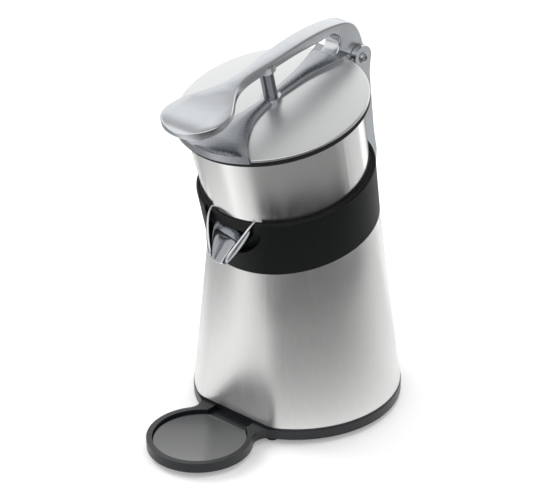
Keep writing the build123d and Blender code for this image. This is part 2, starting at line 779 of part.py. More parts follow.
def arm_plan():
    """Plan view of the upper arm: narrow along the loop, wide at the paddle."""
    rear_y = PIN_Y + KNUCKLE_R + PAST
    def flank(side):
        return Spline(
            (side * ROOT_HALF, rear_y),
            (side * ROOT_HALF, LOOP_Y),
            (side * ARM_HALF, 0),
            (side * ARM_HALF * 1.15, -PADDLE_NECK_Y),
            (side * PADDLE_HALF * 0.58, -(PADDLE_NECK_Y * 0.65 + PADDLE_Y * 0.35)),
            (side * PADDLE_HALF * 0.9, -(PADDLE_NECK_Y * 0.32 + PADDLE_Y * 0.68)),
            (side * PADDLE_HALF, -PADDLE_Y),
            (side * PADDLE_HALF * 0.84, -(PADDLE_Y * 0.38 + PADDLE_TIP_Y * 0.62)),
            (0, -PADDLE_TIP_Y),
            tangents=((0, -1.0), (-side, 0)),
        )
    rear = Line((-ROOT_HALF, rear_y), (ROOT_HALF, rear_y))
    return make_face(flank(1).edges() + flank(-1).edges() + rear.edges())


def strap_plan():
    """Plan view of the lower arm: a strap on the lid that flares at both ends."""
    front = LID_R + STRAP_LIP + PAST
    def flank(side):
        return Spline(
            (side * STRAP_REAR_HALF, LID_R),
            (side * STRAP_HALF * 1.5, LOOP_Y * 0.6),
            (side * STRAP_HALF, 0),
            (side * STRAP_HALF * 1.8, -LOOP_Y * 0.5),
            (side * STRAP_FRONT_HALF, -LID_R * 0.88),
        )
    rear = Line((-STRAP_REAR_HALF, LID_R), (STRAP_REAR_HALF, LID_R))
    ends = Polyline(
        (STRAP_FRONT_HALF, -LID_R * 0.88),
        (STRAP_FRONT_HALF, -front),
        (-STRAP_FRONT_HALF, -front),
        (-STRAP_FRONT_HALF, -LID_R * 0.88),
    )
    return make_face(flank(1).edges() + flank(-1).edges() + rear.edges() + ends.edges())


def make_lever():
    """Cast aluminium lever: paddle, upper arm, finger loop, strap on the lid and hinge knuckle."""
    side_form = through_x(arm_profile(), PADDLE_HALF + PAST)
    plan_form = Pos(0, 0, -FAR / 2) * extrude(arm_plan(), FAR)
    arm = side_form & plan_form
    long_edges = arm.edges().filter_by(lambda edge: edge.length > LOOP_R * math.pi * 0.9)
    arm = fillet(long_edges, ARM_EDGE_R)
    arm = arm + rod(BOSS_R, ROD_TOP, ARM_TOP_H - ARM_T / 2)
    strap = extrude(strap_plan(), STRAP_T) & rod(LID_R + STRAP_LIP, 0, STRAP_T)
    lip = Pos(0, 0, -LID_SKIRT_H) * extrude(strap_plan(), LID_SKIRT_H)
    lip = lip & ring(LID_R + STRAP_LIP, LID_R, -LID_SKIRT_H, 0)
    lip = lip & block(-FAR, FAR, -FAR, 0, -FAR, FAR)
    knuckle = bar_x(KNUCKLE_R, -KNUCKLE_HALF, KNUCKLE_HALF, PIN_Y, PIN_DROP)
    lever = arm + strap + lip + knuckle + rod(BOSS_R, STRAP_T / 2, STRAP_T + BOSS_H)
    lever = lever - bar_x(PIN_R + RUN, -FAR, FAR, PIN_Y, PIN_DROP)
    lever = lever - rod(STUD_R + FIT, -PAST, STRAP_T + BOSS_H + PAST)
    lever = lever - rod(STUD_R + FIT, ROD_TOP - PAST, ROD_TOP + STUD_R + FIT)
    for y in LID_SCREW_YS:
        lever = lever - rod(LID_SCREW_R + FIT, -PAST, STRAP_T - PAST + FIT, 0, y)
    return in_head(Pos(0, 0, LID_TOP) * lever)


def bracket_profile():
    """Side view of the hinge bracket: foot on the collar, post, and the head round the pin."""
    outline = Polyline(
        (COLLAR_SEAT_R, POST_FOOT_LOW),
        (POST_REAR_Y - POST_SLOPE, POST_FOOT_LOW),
        (POST_REAR_Y, POST_FOOT_TOP / 2),
        (POST_REAR_Y + POST_SWELL, POST_FOOT_TOP + POST_SLOPE),
        (PIN_Y + EAR_R * 0.45, PIN_H - EAR_R * 1.7),
        (PIN_Y + EAR_R, PIN_H),
        (PIN_Y - EAR_R, PIN_H),
        (POST_FRONT_Y, PIN_H - EAR_R * 2.2),
        (POST_FRONT_Y, POST_FOOT_TOP + POST_KNEE),
        (COLLAR_SEAT_R, POST_FOOT_TOP - POST_SLOPE),
        close=True,
    )
    return make_face(outline)


def make_hinge_bracket():
    """Cast bracket: foot screwed to the collar, post behind the bowl, two ears for the pin."""
    outer = KNUCKLE_HALF + EAR_GAP + EAR_T
    bracket = through_x(bracket_profile(), outer)
    bracket = bracket + bar_x(EAR_R, -outer, outer, PIN_Y, PIN_H)
    inner = KNUCKLE_HALF + EAR_GAP
    slot_low = PIN_H - KNUCKLE_R - CLEVIS_ROOM
    bracket = bracket - block(-inner, inner, 0, FAR, slot_low, FAR)
    bracket = bracket - collar_form()
    bracket = bracket - bar_x(PIN_R + FIT, -FAR, FAR, PIN_Y, PIN_H)
    for side in (1, -1):
        x = side * BRACKET_SCREW_X
        bracket = bracket - bar_y(BRACKET_SCREW_R + FIT, 0, FAR, x, BRACKET_SCREW_H)
        bracket = bracket - bar_y(BRACKET_HEAD_R + CLEAR, POST_FRONT_Y, FAR, x, BRACKET_SCREW_H)
    return in_head(bracket)


def make_bracket_screws():
    """Screws through the bracket's foot into the collar."""
    screws = []
    for side in (1, -1):
        x = side * BRACKET_SCREW_X
        head = bar_y(BRACKET_HEAD_R, POST_FRONT_Y, POST_FRONT_Y + BRACKET_HEAD_H, x, BRACKET_SCREW_H)
        shank = bar_y(BRACKET_SCREW_R, BOSS_BLOCK_Y + PAST + CLEAR, POST_FRONT_Y, x, BRACKET_SCREW_H)
        screws.append(in_head(head + shank))
    return Compound(screws)


def make_hinge_pin():
    """Hinge bolt: round head outside the right ear, thread outside the left one."""
    outer = KNUCKLE_HALF + EAR_GAP + EAR_T
    pin = bar_x(PIN_R, -outer - PIN_NUT_T, outer, PIN_Y, PIN_H)
    head = bar_x(PIN_HEAD_R, outer, outer + PIN_HEAD_H, PIN_Y, PIN_H)
    return in_head(pin + head)


def make_hinge_nut():
    """Nut on the hinge bolt."""
    outer = KNUCKLE_HALF + EAR_GAP + EAR_T
    nut = extrude(RegularPolygon(PIN_NUT_AF / 2, 6, major_radius=False), PIN_NUT_T)
    nut = Pos(-outer - PIN_NUT_T, PIN_Y, PIN_H) * (Rot(0, 90, 0) * nut)
    return in_head(nut - bar_x(PIN_R + FIT, -FAR, FAR, PIN_Y, PIN_H))


def make_motor_mounts():
    """Rubber mounts between the deck and the motor."""
    mounts = []
    for x, y in bolt_spots():
        mounts.append(in_head(ring(MOUNT_R, BOLT_R + FIT, BELL_TOP, DECK_LOW, x, y)))
    return Compound(mounts)


def make_motor_bolts():
    """Long bolts that hold the motor together and hang it from the deck."""
    bolts = []
    for x, y in bolt_spots():
        head = rod(BOLT_HEAD_R, BELL_LOW - BOLT_HEAD_H, BELL_LOW, x, y)
        bolts.append(in_head(head + rod(BOLT_R, BELL_LOW, DECK_LOW + BOLT_GRIP - CLEAR, x, y)))
    return Compound(bolts)


def end_bell():
    """Motor end casting with its bearing pocket; plate at the top, open below."""
    bell = ring(MOTOR_R, MOTOR_CAVITY_R, -BELL_H, 0)
    bell = bell + rod(MOTOR_R, -BELL_PLATE, 0)
    bell = bell + rod(HUB_R, -BELL_PLATE - BEARING_T, 0)
    bell = bell - rod(BEARING_R + FIT, -BELL_H, -BELL_PLATE)
    bell = bell - rod(SHAFT_R + CLEAR, -BELL_H, PAST)
    for x, y in bolt_spots():
        bell = bell - rod(BOLT_R + FIT, -BELL_H - PAST, PAST, x, y)
    return bell


def make_upper_end_bell():
    """Upper motor casting."""
    return in_head(Pos(0, 0, BELL_TOP) * end_bell())


def make_lower_end_bell():
    """Lower motor casting, the upper one turned over."""
    return in_head(Pos(0, 0, BELL_LOW) * (Rot(180, 0, 0) * end_bell()))


def bearing(low):
    """Sealed ball bearing as one ring."""
    return in_head(ring(BEARING_R, SHAFT_R + RUN, low, low + BEARING_T))


def make_stator_core():
    """Stack of stator sheets."""
    core = ring(MOTOR_R, STATOR_BORE_R, STATOR_LOW, STATOR_TOP)
    for x, y in bolt_spots():
        core = core - rod(BOLT_R + FIT, STATOR_LOW - PAST, STATOR_TOP + PAST, x, y)
    return in_head(core)


def winding(low):
    """Ring of copper end turns on one end of the stator."""
    return in_head(ring(WINDING_R, STATOR_BORE_R + PAST, low, low + WINDING_H))


def make_rotor_core():
    """Rotor stack on the shaft."""
    return in_head(ring(STATOR_BORE_R - AIR_GAP, SHAFT_R + FIT, STATOR_LOW, STATOR_TOP))


def make_motor_shaft():
    """Motor shaft, round in the bearings and six-sided at the top."""
    shaft = rod(SHAFT_R, SHAFT_LOW, DECK_TOP)
    return in_head(shaft + hexagon(SHAFT_HEX_AF, DECK_TOP, SHAFT_HEX_TOP))


def make_shaft_seal():
    """Rubber seal where the shaft leaves the deck."""
    return in_head(ring(SEAL_R - FIT, SHAFT_R + RUN, DECK_LOW, DECK_TOP))


def make_cooling_fan():
    """Radial fan below the motor."""
    fan = rod(FAN_R, FAN_TOP - FAN_DISC, FAN_TOP)
    fan = fan + rod(FAN_HUB_R, FAN_LOW, FAN_TOP)
    blade = block(FAN_HUB_R - PAST, FAN_R - PAST, -FAN_BLADE_T / 2, FAN_BLADE_T / 2, FAN_LOW, FAN_TOP - FAN_DISC)
    for index in range(FAN_BLADES):
        fan = fan + Rot(0, 0, 360.0 * index / FAN_BLADES) * blade
    return in_head(fan - rod(SHAFT_R + FIT, FAN_LOW - PAST, FAN_TOP + PAST))


def make_fan_clip():
    """Clip that keeps the fan on the shaft."""
    return in_head(ring(CLIP_R, SHAFT_R + FIT, FAN_LOW - CLIP_T, FAN_LOW))


def make_drive_spindle():
    """Spindle that slides on the shaft's six-sided end and turns the reamer."""
    spindle = rod(FLANGE_R, FLANGE_LOW, FLANGE_LOW + FLANGE_T)
    spindle = spindle + rod(BARREL_R, FLANGE_LOW, DRIVE_LOW)
    spindle = spindle + hexagon(DRIVE_AF, DRIVE_LOW, DRIVE_TOP)
    return in_head(spindle - hexagon(SHAFT_HEX_AF + 2 * SLIP, FLANGE_LOW - PAST, SOCKET_TOP))


def make_return_spring():
    """Spring between the shaft's end and the roof of the spindle's socket."""
    return in_head(ring(SPRING_R, SPRING_BORE_R, SHAFT_HEX_TOP + RUN, SOCKET_TOP))


def reamer_outline(rise):
    """Half outline of the pointed reamer."""
    wide = REAMER_R + rise
    top = REAMER_TIP + rise
    belly = (wide * 0.76, REAMER_LOW + (top - REAMER_LOW) * 0.6)
    side = ThreePointArc((wide, REAMER_LOW), belly, (0, top))
    lines = Polyline((0, top), (0, REAMER_LOW), (wide, REAMER_LOW))
    return Plane.XZ * make_face(side.edges() + lines.edges())


def make_reamer():
    """Ribbed reamer, hollow below, with a six-sided socket in its hub."""
    reamer = revolve(reamer_outline(0), Axis.Z)
    rib = extrude(reamer_outline(RIB_RISE), RIB_T / 2, both=True)
    for index in range(RIB_COUNT):
        reamer = reamer + Rot(0, 0, 360.0 * index / RIB_COUNT) * rib
    hollow = Pos(0, 0, REAMER_LOW - PAST) * Cone(
        REAMER_R - REAMER_WALL, CHIMNEY_R + PAST, REAMER_ROOF - REAMER_LOW + PAST, align=MIN_Z
    )
    reamer = reamer - hollow + rod(REAMER_HUB_R, DRIVE_LOW, REAMER_ROOF)
    return in_head(reamer - hexagon(DRIVE_AF + 2 * FIT, DRIVE_LOW - PAST, DRIVE_TOP + FIT))


def switch_screw_spots():
    """Places of the two screws that hold the switch bracket to the deck."""
    y = SWITCH_W / 2 + BRACKET_T + SWITCH_SHELF / 2
    reach = SWITCH_SCREW_PITCH / 2
    return ((ACTUATOR_X - reach, y), (ACTUATOR_X + reach, y))


def switch_top():
    """Height of the switch body, just under the pressed actuator."""
    return DECK_LOW - ACTUATOR_COLLAR_T - PRESS_TRAVEL - PRESS_TRAVEL - SWITCH_GAP


def make_switch_actuator():
    """Pin through the deck, pushed down by the spindle's flange."""
    top = FLANGE_LOW - CLEAR
    low = switch_top() + PRESS_TRAVEL + SWITCH_GAP
    pin = rod(ACTUATOR_R, low, top, ACTUATOR_X, 0)
    return in_head(pin + rod(ACTUATOR_COLLAR_R, low, low + ACTUATOR_COLLAR_T, ACTUATOR_X, 0))


def make_micro_switch():
    """Start switch under the actuator pin."""
    top = switch_top()
    half = SWITCH_L / 2
    return in_head(block(ACTUATOR_X - half, ACTUATOR_X + half, -SWITCH_W / 2, SWITCH_W / 2, top - SWITCH_H, top))


def make_switch_bracket():
    """Angle bracket that carries the switch under the deck."""
    half = SWITCH_L / 2
    y = SWITCH_W / 2
    low = switch_top() - SWITCH_H
    wall = block(ACTUATOR_X - half, ACTUATOR_X + half, y, y + BRACKET_T, low, DECK_LOW)
    shelf_y = y + BRACKET_T + SWITCH_SHELF
    shelf = block(ACTUATOR_X - half, ACTUATOR_X + half, y, shelf_y, DECK_LOW - BRACKET_T, DECK_LOW)
    bracket = wall + shelf
    for x, spot_y in switch_screw_spots():
        bracket = bracket - rod(SWITCH_SCREW_R + FIT, -FAR, FAR, x, spot_y)
    return in_head(bracket)


def make_switch_screws():
    """Screws that hold the switch bracket."""
    screws = []
    low = DECK_LOW - BRACKET_T
    for x, y in switch_screw_spots():
        head = rod(SWITCH_SCREW_R * 2, low - SWITCH_SCREW_R, low, x, y)
        screws.append(in_head(head + rod(SWITCH_SCREW_R, low, DECK_LOW + BOLT_GRIP - CLEAR, x, y)))
    return Compound(screws)


os.makedirs("parts", exist_ok=True)

# Base and body
save(make_base_tray(), "base_tray")
save(make_rubber_feet(), "rubber_feet")
save(make_foot_screws(), "foot_screws")
save(make_body_shell(), "body_shell")
save(make_tie_rods(), "tie_rods")
save(make_tie_nuts(), "tie_nuts")
save(make_cable_gland(), "cable_gland")
save(make_gland_nut(), "gland_nut")
save(make_run_capacitor(), "run_capacitor")
save(make_capacitor_clip(), "capacitor_clip")
save(make_terminal_block(), "terminal_block")

# Collar, bowl and hinge bracket
save(make_collar(), "collar")
save(make_bowl(), "bowl")
save(make_spout(), "spout")
save(make_strainer(), "strainer")
save(make_hinge_bracket(), "hinge_bracket")
save(make_bracket_screws(), "bracket_screws")
save(make_hinge_pin(), "hinge_pin")
save(make_hinge_nut(), "hinge_nut")

# Lever and lid
save(make_lever(), "lever")
save(make_lid(), "lid")
save(make_lid_seal(), "lid_seal")
save(make_lid_screws(), "lid_screws")
save(make_press_rod(), "press_rod")
save(make_press_cup(), "press_cup")
save(make_rod_nut(), "rod_nut")

# Motor
save(make_motor_mounts(), "motor_mounts")
save(make_motor_bolts(), "motor_bolts")
save(make_upper_end_bell(), "upper_end_bell")
save(make_lower_end_bell(), "lower_end_bell")
save(bearing(BELL_TOP - BELL_PLATE - BEARING_T), "upper_bearing")
save(bearing(BELL_LOW + BELL_PLATE), "lower_bearing")
save(make_stator_core(), "stator_core")
save(winding(STATOR_TOP), "upper_winding")
save(winding(STATOR_LOW - WINDING_H), "lower_winding")
save(make_rotor_core(), "rotor_core")
save(make_motor_shaft(), "motor_shaft")
save(make_shaft_seal(), "shaft_seal")
save(make_cooling_fan(), "cooling_fan")
save(make_fan_clip(), "fan_clip")

# Drive and start switch
save(make_drive_spindle(), "drive_spindle")
save(make_return_spring(), "return_spring")
save(make_reamer(), "reamer")
save(make_switch_actuator(), "switch_actuator")
save(make_micro_switch(), "micro_switch")
save(make_switch_bracket(), "switch_bracket")
save(make_switch_screws(), "switch_screws")
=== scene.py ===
import json
import math
import bmesh
import bpy
from mathutils import Matrix, Vector

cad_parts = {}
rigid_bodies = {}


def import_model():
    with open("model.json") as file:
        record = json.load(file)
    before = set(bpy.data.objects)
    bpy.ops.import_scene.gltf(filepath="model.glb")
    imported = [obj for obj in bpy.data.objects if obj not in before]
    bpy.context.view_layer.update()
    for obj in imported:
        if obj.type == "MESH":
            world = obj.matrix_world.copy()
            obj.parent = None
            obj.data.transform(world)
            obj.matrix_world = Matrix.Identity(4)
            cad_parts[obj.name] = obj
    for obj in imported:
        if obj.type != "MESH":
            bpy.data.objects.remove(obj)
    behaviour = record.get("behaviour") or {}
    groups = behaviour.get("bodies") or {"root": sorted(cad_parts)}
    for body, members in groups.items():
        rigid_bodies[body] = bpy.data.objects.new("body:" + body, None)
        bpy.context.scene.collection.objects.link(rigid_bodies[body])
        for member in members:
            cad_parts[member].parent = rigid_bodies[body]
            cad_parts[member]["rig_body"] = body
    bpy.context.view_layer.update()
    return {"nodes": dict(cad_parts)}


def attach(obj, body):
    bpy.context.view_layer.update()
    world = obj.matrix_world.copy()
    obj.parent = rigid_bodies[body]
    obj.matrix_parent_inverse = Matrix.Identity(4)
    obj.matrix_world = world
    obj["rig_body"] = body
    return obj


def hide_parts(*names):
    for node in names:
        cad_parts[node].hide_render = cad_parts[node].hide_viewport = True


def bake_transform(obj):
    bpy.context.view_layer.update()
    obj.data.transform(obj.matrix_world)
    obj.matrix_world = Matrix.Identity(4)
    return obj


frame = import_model()
nodes = frame["nodes"]
scene = bpy.context.scene


# Base and drip tray
# One injection moulding in black ABS: a pan under the body and a spoon-shaped tray for the glass.
# The mould leaves softly broken edges and a fine grain that greys the faces turned to the light.


def linear(code):
    """An sRGB hex colour as the linear values a shader takes."""
    parts = [int(code[i:i + 2], 16) / 255 for i in (1, 3, 5)]
    curve = [c / 12.92 if c <= 0.04045 else ((c + 0.055) / 1.055) ** 2.4 for c in parts]
    return (*curve, 1.0)


def add(tree, kind, settings, links):
    """Adds a shader node, sets its values and links its inputs."""
    node = tree.nodes.new(kind)
    for key, value in settings.items():
        if isinstance(key, str) and hasattr(node, key):
            setattr(node, key, value)
        else:
            node.inputs[key].default_value = value
    for key, socket in links.items():
        tree.links.new(socket, node.inputs[key])
    return node


def start(name, colour, metallic, roughness):
    """Starts a material and gives it back with its tree, its shader and its place on the object."""
    material = bpy.data.materials.new(name)
    material.use_nodes = True
    tree = material.node_tree
    shader = tree.nodes["Principled BSDF"]
    shader.inputs["Base Color"].default_value = linear(colour)
    shader.inputs["Metallic"].default_value = metallic
    shader.inputs["Roughness"].default_value = roughness
    place = add(tree, "ShaderNodeTexCoord", {}, {}).outputs["Object"]
    return material, tree, shader, place


def dress(piece, material):
    """Gives a piece one material all over."""
    piece.data.materials.clear()
    piece.data.materials.append(material)


# Points closer than WELD are one point, and faces within FLAT of each other are one face. Edges turned
# by more than SHARP are drawn sharp, and those turned by more than BROKEN get a round.
WELD = 2e-6
FLAT = math.radians(0.05)
SHARP = math.radians(28)
BROKEN = math.radians(30)


def eased(node, width, steps):
    """Stands a copy of a CAD node in its place, with every sharp edge broken by a small round."""
    form = bmesh.new()
    form.from_mesh(nodes[node].data)
    bmesh.ops.remove_doubles(form, verts=form.verts, dist=WELD)
    bmesh.ops.dissolve_limit(form, angle_limit=FLAT, verts=form.verts, edges=form.edges)
    for face in form.faces:
        face.smooth = True
    for edge in form.edges:
        edge.smooth = edge.calc_face_angle(0.0) < SHARP
    mesh = bpy.data.meshes.new(node + "_eased")
    form.to_mesh(mesh)
    form.free()
    piece = bpy.data.objects.new(node + "_eased", mesh)
    scene.collection.objects.link(piece)
    rounding = piece.modifiers.new("edge_break", "BEVEL")
    rounding.width = width
    rounding.segments = steps
    rounding.limit_method = "ANGLE"
    rounding.angle_limit = BROKEN
    rounding.harden_normals = True
    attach(piece, nodes[node]["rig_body"])
    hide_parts(node)
    return piece


# Moulded ABS: a dark blue-black with a soft gloss. The spark grain of the mould, 0.6 mm, is drawn at
# 1.2 mm so that it shows, and breaks up the gloss. Hands leave it faintly cloudy, 50 mm across.
abs_black, tree, shader, place = start("moulded_abs", "#15181b", 0.0, 0.36)
grain = add(tree, "ShaderNodeTexNoise", {"Scale": 1 / 0.0012, "Detail": 3.0}, {"Vector": place})
gloss = add(tree, "ShaderNodeMapRange", {"To Min": 0.28, "To Max": 0.42}, {"Value": grain.outputs["Fac"]})
tree.links.new(gloss.outputs["Result"], shader.inputs["Roughness"])
handled = add(tree, "ShaderNodeTexNoise", {"Scale": 1 / 0.05, "Detail": 4.0}, {"Vector": place})
tint = add(tree, "ShaderNodeMix", {"data_type": "RGBA", 6: linear("#0e1013"), 7: linear("#16191d")},
           {0: handled.outputs["Fac"]})
tree.links.new(tint.outputs[2], shader.inputs["Base Color"])
pits = add(tree, "ShaderNodeBump", {"Strength": 0.1, "Distance": 0.00004}, {"Height": grain.outputs["Fac"]})
tree.links.new(pits.outputs["Normal"], shader.inputs["Normal"])

dress(eased("base_tray", width=0.0009, steps=3), abs_black)


# Drip mat
# A thin loose plate on the tray's floor, cut straight along the neck, with a low raised edge.
# Polished dark styrene with fine turned rings, so it mirrors the body where the tray does not.

RING_SHARP = math.radians(34)


def rings_to_mesh(name, rings, close_ends):
    """Joins rings of points, each with the same count, into one smooth skin."""
    form = bmesh.new()
    loops = [[form.verts.new(point) for point in ring] for ring in rings]
    count = len(loops[0])
    for low, high in zip(loops[:-1], loops[1:]):
        for index in range(count):
            after = (index + 1) % count
            form.faces.new((low[index], low[after], high[after], high[index]))
    if close_ends:
        form.faces.new(list(reversed(loops[0])))
        form.faces.new(loops[-1])
    bmesh.ops.recalc_face_normals(form, faces=form.faces)
    for face in form.faces:
        face.smooth = True
    for edge in form.edges:
        edge.smooth = edge.calc_face_angle(0.0) < RING_SHARP
    mesh = bpy.data.meshes.new(name)
    form.to_mesh(mesh)
    form.free()
    return mesh


def belongs(piece, body, slot, *stands_for):
    """Puts a new piece on its body and hides the CAD nodes that it stands for; slot, the name of its finish,
    is not used.
    """
    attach(piece, body)
    if stands_for:
        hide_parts(*stands_for)


# The body's axis stands SHIFT behind the frame's origin, and the middle of the tray TRAY_Y from that axis.
SHIFT = 0.0404252
TRAY_Y = -0.1386
MAT_R = 0.0441
MAT_CHORD = 0.0362
MAT_LOW = 0.0087
MAT_STEPS = 96
# The mat's edge, from its foot up and in to its face: how far in and how high.
mat_edge = [(0.0, 0.0), (0.0, 0.0020), (0.0004, 0.0025), (0.0016, 0.0026), (0.0030, 0.0022)]
chord_turn = math.asin(MAT_CHORD / MAT_R)
mat_rings = []
for inset, height in mat_edge:
    ring = []
    for step in range(MAT_STEPS + 1):
        turn = math.pi - chord_turn + (math.pi + 2 * chord_turn) * step / MAT_STEPS
        x = (MAT_R - inset) * math.cos(turn)
        y = min((MAT_R - inset) * math.sin(turn), MAT_CHORD - inset)
        ring.append(Vector((x, TRAY_Y + SHIFT + y, MAT_LOW + height)))
    mat_rings.append(ring)
mat = bpy.data.objects.new("drip_mat", rings_to_mesh("drip_mat", mat_rings, True))
scene.collection.objects.link(mat)

# Polished styrene: dark slate, glossy, with turned rings 2.5 mm apart that catch the light.
# A wave node at a scale of 1 repeats at every WAVE metres.
WAVE = 2 * math.pi / 20
styrene, tree, shader, place = start("polished_styrene", "#1d2024", 0.0, 0.16)
shader.inputs["Specular IOR Level"].default_value = 1.0
shader.inputs["Coat Weight"].default_value = 0.45
shader.inputs["Coat Roughness"].default_value = 0.1
from_middle = add(tree, "ShaderNodeMapping",
                  {"vector_type": "TEXTURE", "Location": (0.0, TRAY_Y + SHIFT, 0.0)}, {"Vector": place})
turning = add(tree, "ShaderNodeTexWave",
              {"wave_type": "RINGS", "rings_direction": "Z", "Scale": WAVE / 0.0025, "Distortion": 0.6},
              {"Vector": from_middle.outputs["Vector"]})
polish = add(tree, "ShaderNodeMapRange", {"To Min": 0.12, "To Max": 0.22}, {"Value": turning.outputs["Fac"]})
tree.links.new(polish.outputs["Result"], shader.inputs["Roughness"])
ridge = add(tree, "ShaderNodeBump", {"Strength": 0.06, "Distance": 0.00004},
            {"Height": turning.outputs["Fac"]})
tree.links.new(ridge.outputs["Normal"], shader.inputs["Normal"])
dress(mat, styrene)
belongs(mat, "frame", "dark_plastic")


# Feet and their screws
# Seven turned-profile rubber feet, each held by a pan-head screw sunk in its underside.
# Moulded black nitrile rubber, dull, with a bloom of grey.


def turned(name, profile, place, count, close_ends=True):
    """Turns a profile of radius and height pairs; a third value makes that ring six-sided."""
    rings = []
    for radius, height, *six in profile:
        ring = []
        for index in range(count):
            turn = 2 * math.pi * index / count
            reach = radius
            if six:
                reach = radius / math.cos((turn % (math.pi / 3)) - math.pi / 6)
            ring.append(place @ Vector((reach * math.cos(turn), reach * math.sin(turn), height)))
        rings.append(ring)
    piece = bpy.data.objects.new(name, rings_to_mesh(name, rings, close_ends))
    scene.collection.objects.link(piece)
    return piece


def joined(name, pieces):
    """Makes several pieces into one object."""
    form = bmesh.new()
    for piece in pieces:
        form.from_mesh(piece.data)
    mesh = bpy.data.meshes.new(name)
    form.to_mesh(mesh)
    form.free()
    for piece in pieces:
        bpy.data.objects.remove(piece)
    whole = bpy.data.objects.new(name, mesh)
    scene.collection.objects.link(whole)
    return whole


# One foot under the tray, and three on each side of the base, by degrees from the front.
FOOT_CIRCLE = 0.090
FOOT_TURNS = (26.0, 96.0, 166.0)
foot_spots = [(0.0, TRAY_Y)]
for angle in FOOT_TURNS:
    for side in (1, -1):
        turn = math.radians(angle)
        foot_spots.append((side * FOOT_CIRCLE * math.sin(turn), -FOOT_CIRCLE * math.cos(turn)))

foot_profile = [
    (0.0041, 0.0023), (0.0041, 0.0002), (0.0045, 0.0), (0.0060, 0.0), (0.0065, 0.0004), (0.0067, 0.0012),
    (0.0068, 0.0045), (0.0066, 0.00495), (0.0022, 0.00495), (0.0021, 0.0046), (0.0021, 0.0024),
    (0.0041, 0.0023),
]
foot_screw_profile = [
    (0.0020, 0.0072), (0.0020, 0.0023), (0.0036, 0.0023), (0.0038, 0.0018), (0.0034, 0.0009),
    (0.0026, 0.0004), (0.0012, 0.0003, 6), (0.0011, 0.0013, 6),
]
feet = []
foot_screws = []
for x, y in foot_spots:
    spot = Matrix.Translation((x, y + SHIFT, 0))
    feet.append(turned("foot", foot_profile, spot, 40, False))
    foot_screws.append(turned("foot_screw", foot_screw_profile, spot, 36))

# Nitrile rubber: near black, matt, with a dusty bloom about 4 mm across.
rubber, tree, shader, place = start("nitrile_rubber", "#161616", 0.0, 0.72)
shader.inputs["Specular IOR Level"].default_value = 0.3
bloom = add(tree, "ShaderNodeTexNoise", {"Scale": 1 / 0.004, "Detail": 5.0}, {"Vector": place})
dust = add(tree, "ShaderNodeMix", {"data_type": "RGBA", 6: linear("#0f0f10"), 7: linear("#1f1f20")},
           {0: bloom.outputs["Fac"]})
tree.links.new(dust.outputs[2], shader.inputs["Base Color"])
skin = add(tree, "ShaderNodeBump", {"Strength": 0.2, "Distance": 0.0001}, {"Height": bloom.outputs["Fac"]})
tree.links.new(skin.outputs["Normal"], shader.inputs["Normal"])

# Zinc-plated steel: pale blue-grey, bright, with the faint cloudiness of the plating bath, 3 mm across.
zinc, tree, shader, place = start("zinc_plated_steel", "#b4b8bb", 1.0, 0.3)
cloud = add(tree, "ShaderNodeTexNoise", {"Scale": 1 / 0.003, "Detail": 3.0}, {"Vector": place})
plating = add(tree, "ShaderNodeMapRange", {"To Min": 0.22, "To Max": 0.4}, {"Value": cloud.outputs["Fac"]})
tree.links.new(plating.outputs["Result"], shader.inputs["Roughness"])

feet = joined("rubber_feet_turned", feet)
dress(feet, rubber)
belongs(feet, "frame", "rubber", "rubber_feet")
foot_screws = joined("foot_screws_pan_head", foot_screws)
dress(foot_screws, zinc)
belongs(foot_screws, "frame", "zinc_steel", "foot_screws")


# Body casing, its tie rods and the cable gland
# A tapered casing rolled from 1 mm stainless sheet, pressed flat at the front, set on the base's plinth and
# clamped there by three tie rods. It is brushed from top to bottom, so its reflections spread sideways.

# Brushed stainless steel: brush lines 0.5 mm apart, drawn at 1.6 mm so that they show, run up the body.
brushed, tree, shader, place = start("brushed_stainless_steel", "#dededd", 1.0, 0.3)
stretch = add(tree, "ShaderNodeMapping", {"Scale": (1.0, 1.0, 0.012)}, {"Vector": place})
lines = add(tree, "ShaderNodeTexNoise", {"Scale": 1 / 0.0016, "Detail": 4.0, "Roughness": 0.65},
            {"Vector": stretch.outputs["Vector"]})
sheen = add(tree, "ShaderNodeMapRange", {"To Min": 0.24, "To Max": 0.4}, {"Value": lines.outputs["Fac"]})
tree.links.new(sheen.outputs["Result"], shader.inputs["Roughness"])
streak = add(tree, "ShaderNodeMix", {"data_type": "RGBA", 6: linear("#d6d6d5"), 7: linear("#e4e4e3")},
             {0: lines.outputs["Fac"]})
tree.links.new(streak.outputs[2], shader.inputs["Base Color"])
scratch = add(tree, "ShaderNodeBump", {"Strength": 0.12, "Distance": 0.00004},
              {"Height": lines.outputs["Fac"]})
tree.links.new(scratch.outputs["Normal"], shader.inputs["Normal"])
dress(nodes["body_shell"], brushed)
for name in ("tie_rods", "tie_nuts"):
    dress(nodes[name], zinc)
for name in ("cable_gland", "gland_nut"):
    dress(nodes[name], abs_black)


# Collar with its bowl gasket and splash guard
# A matt black moulding leans forward on the body and carries the bowl. A black rubber gasket fills the gap
# round the bowl and is also painted shade for that gap, and a thin guard closes the notch below the spout.

# The head's own frame: from the middle of the collar's foot, with z along the leaning axis of the bowl.
HEAD_Z = 0.187
LEAN = math.radians(12.7)
head = Matrix.Translation((0, SHIFT, HEAD_Z)) @ Matrix.Rotation(LEAN, 4, "X")

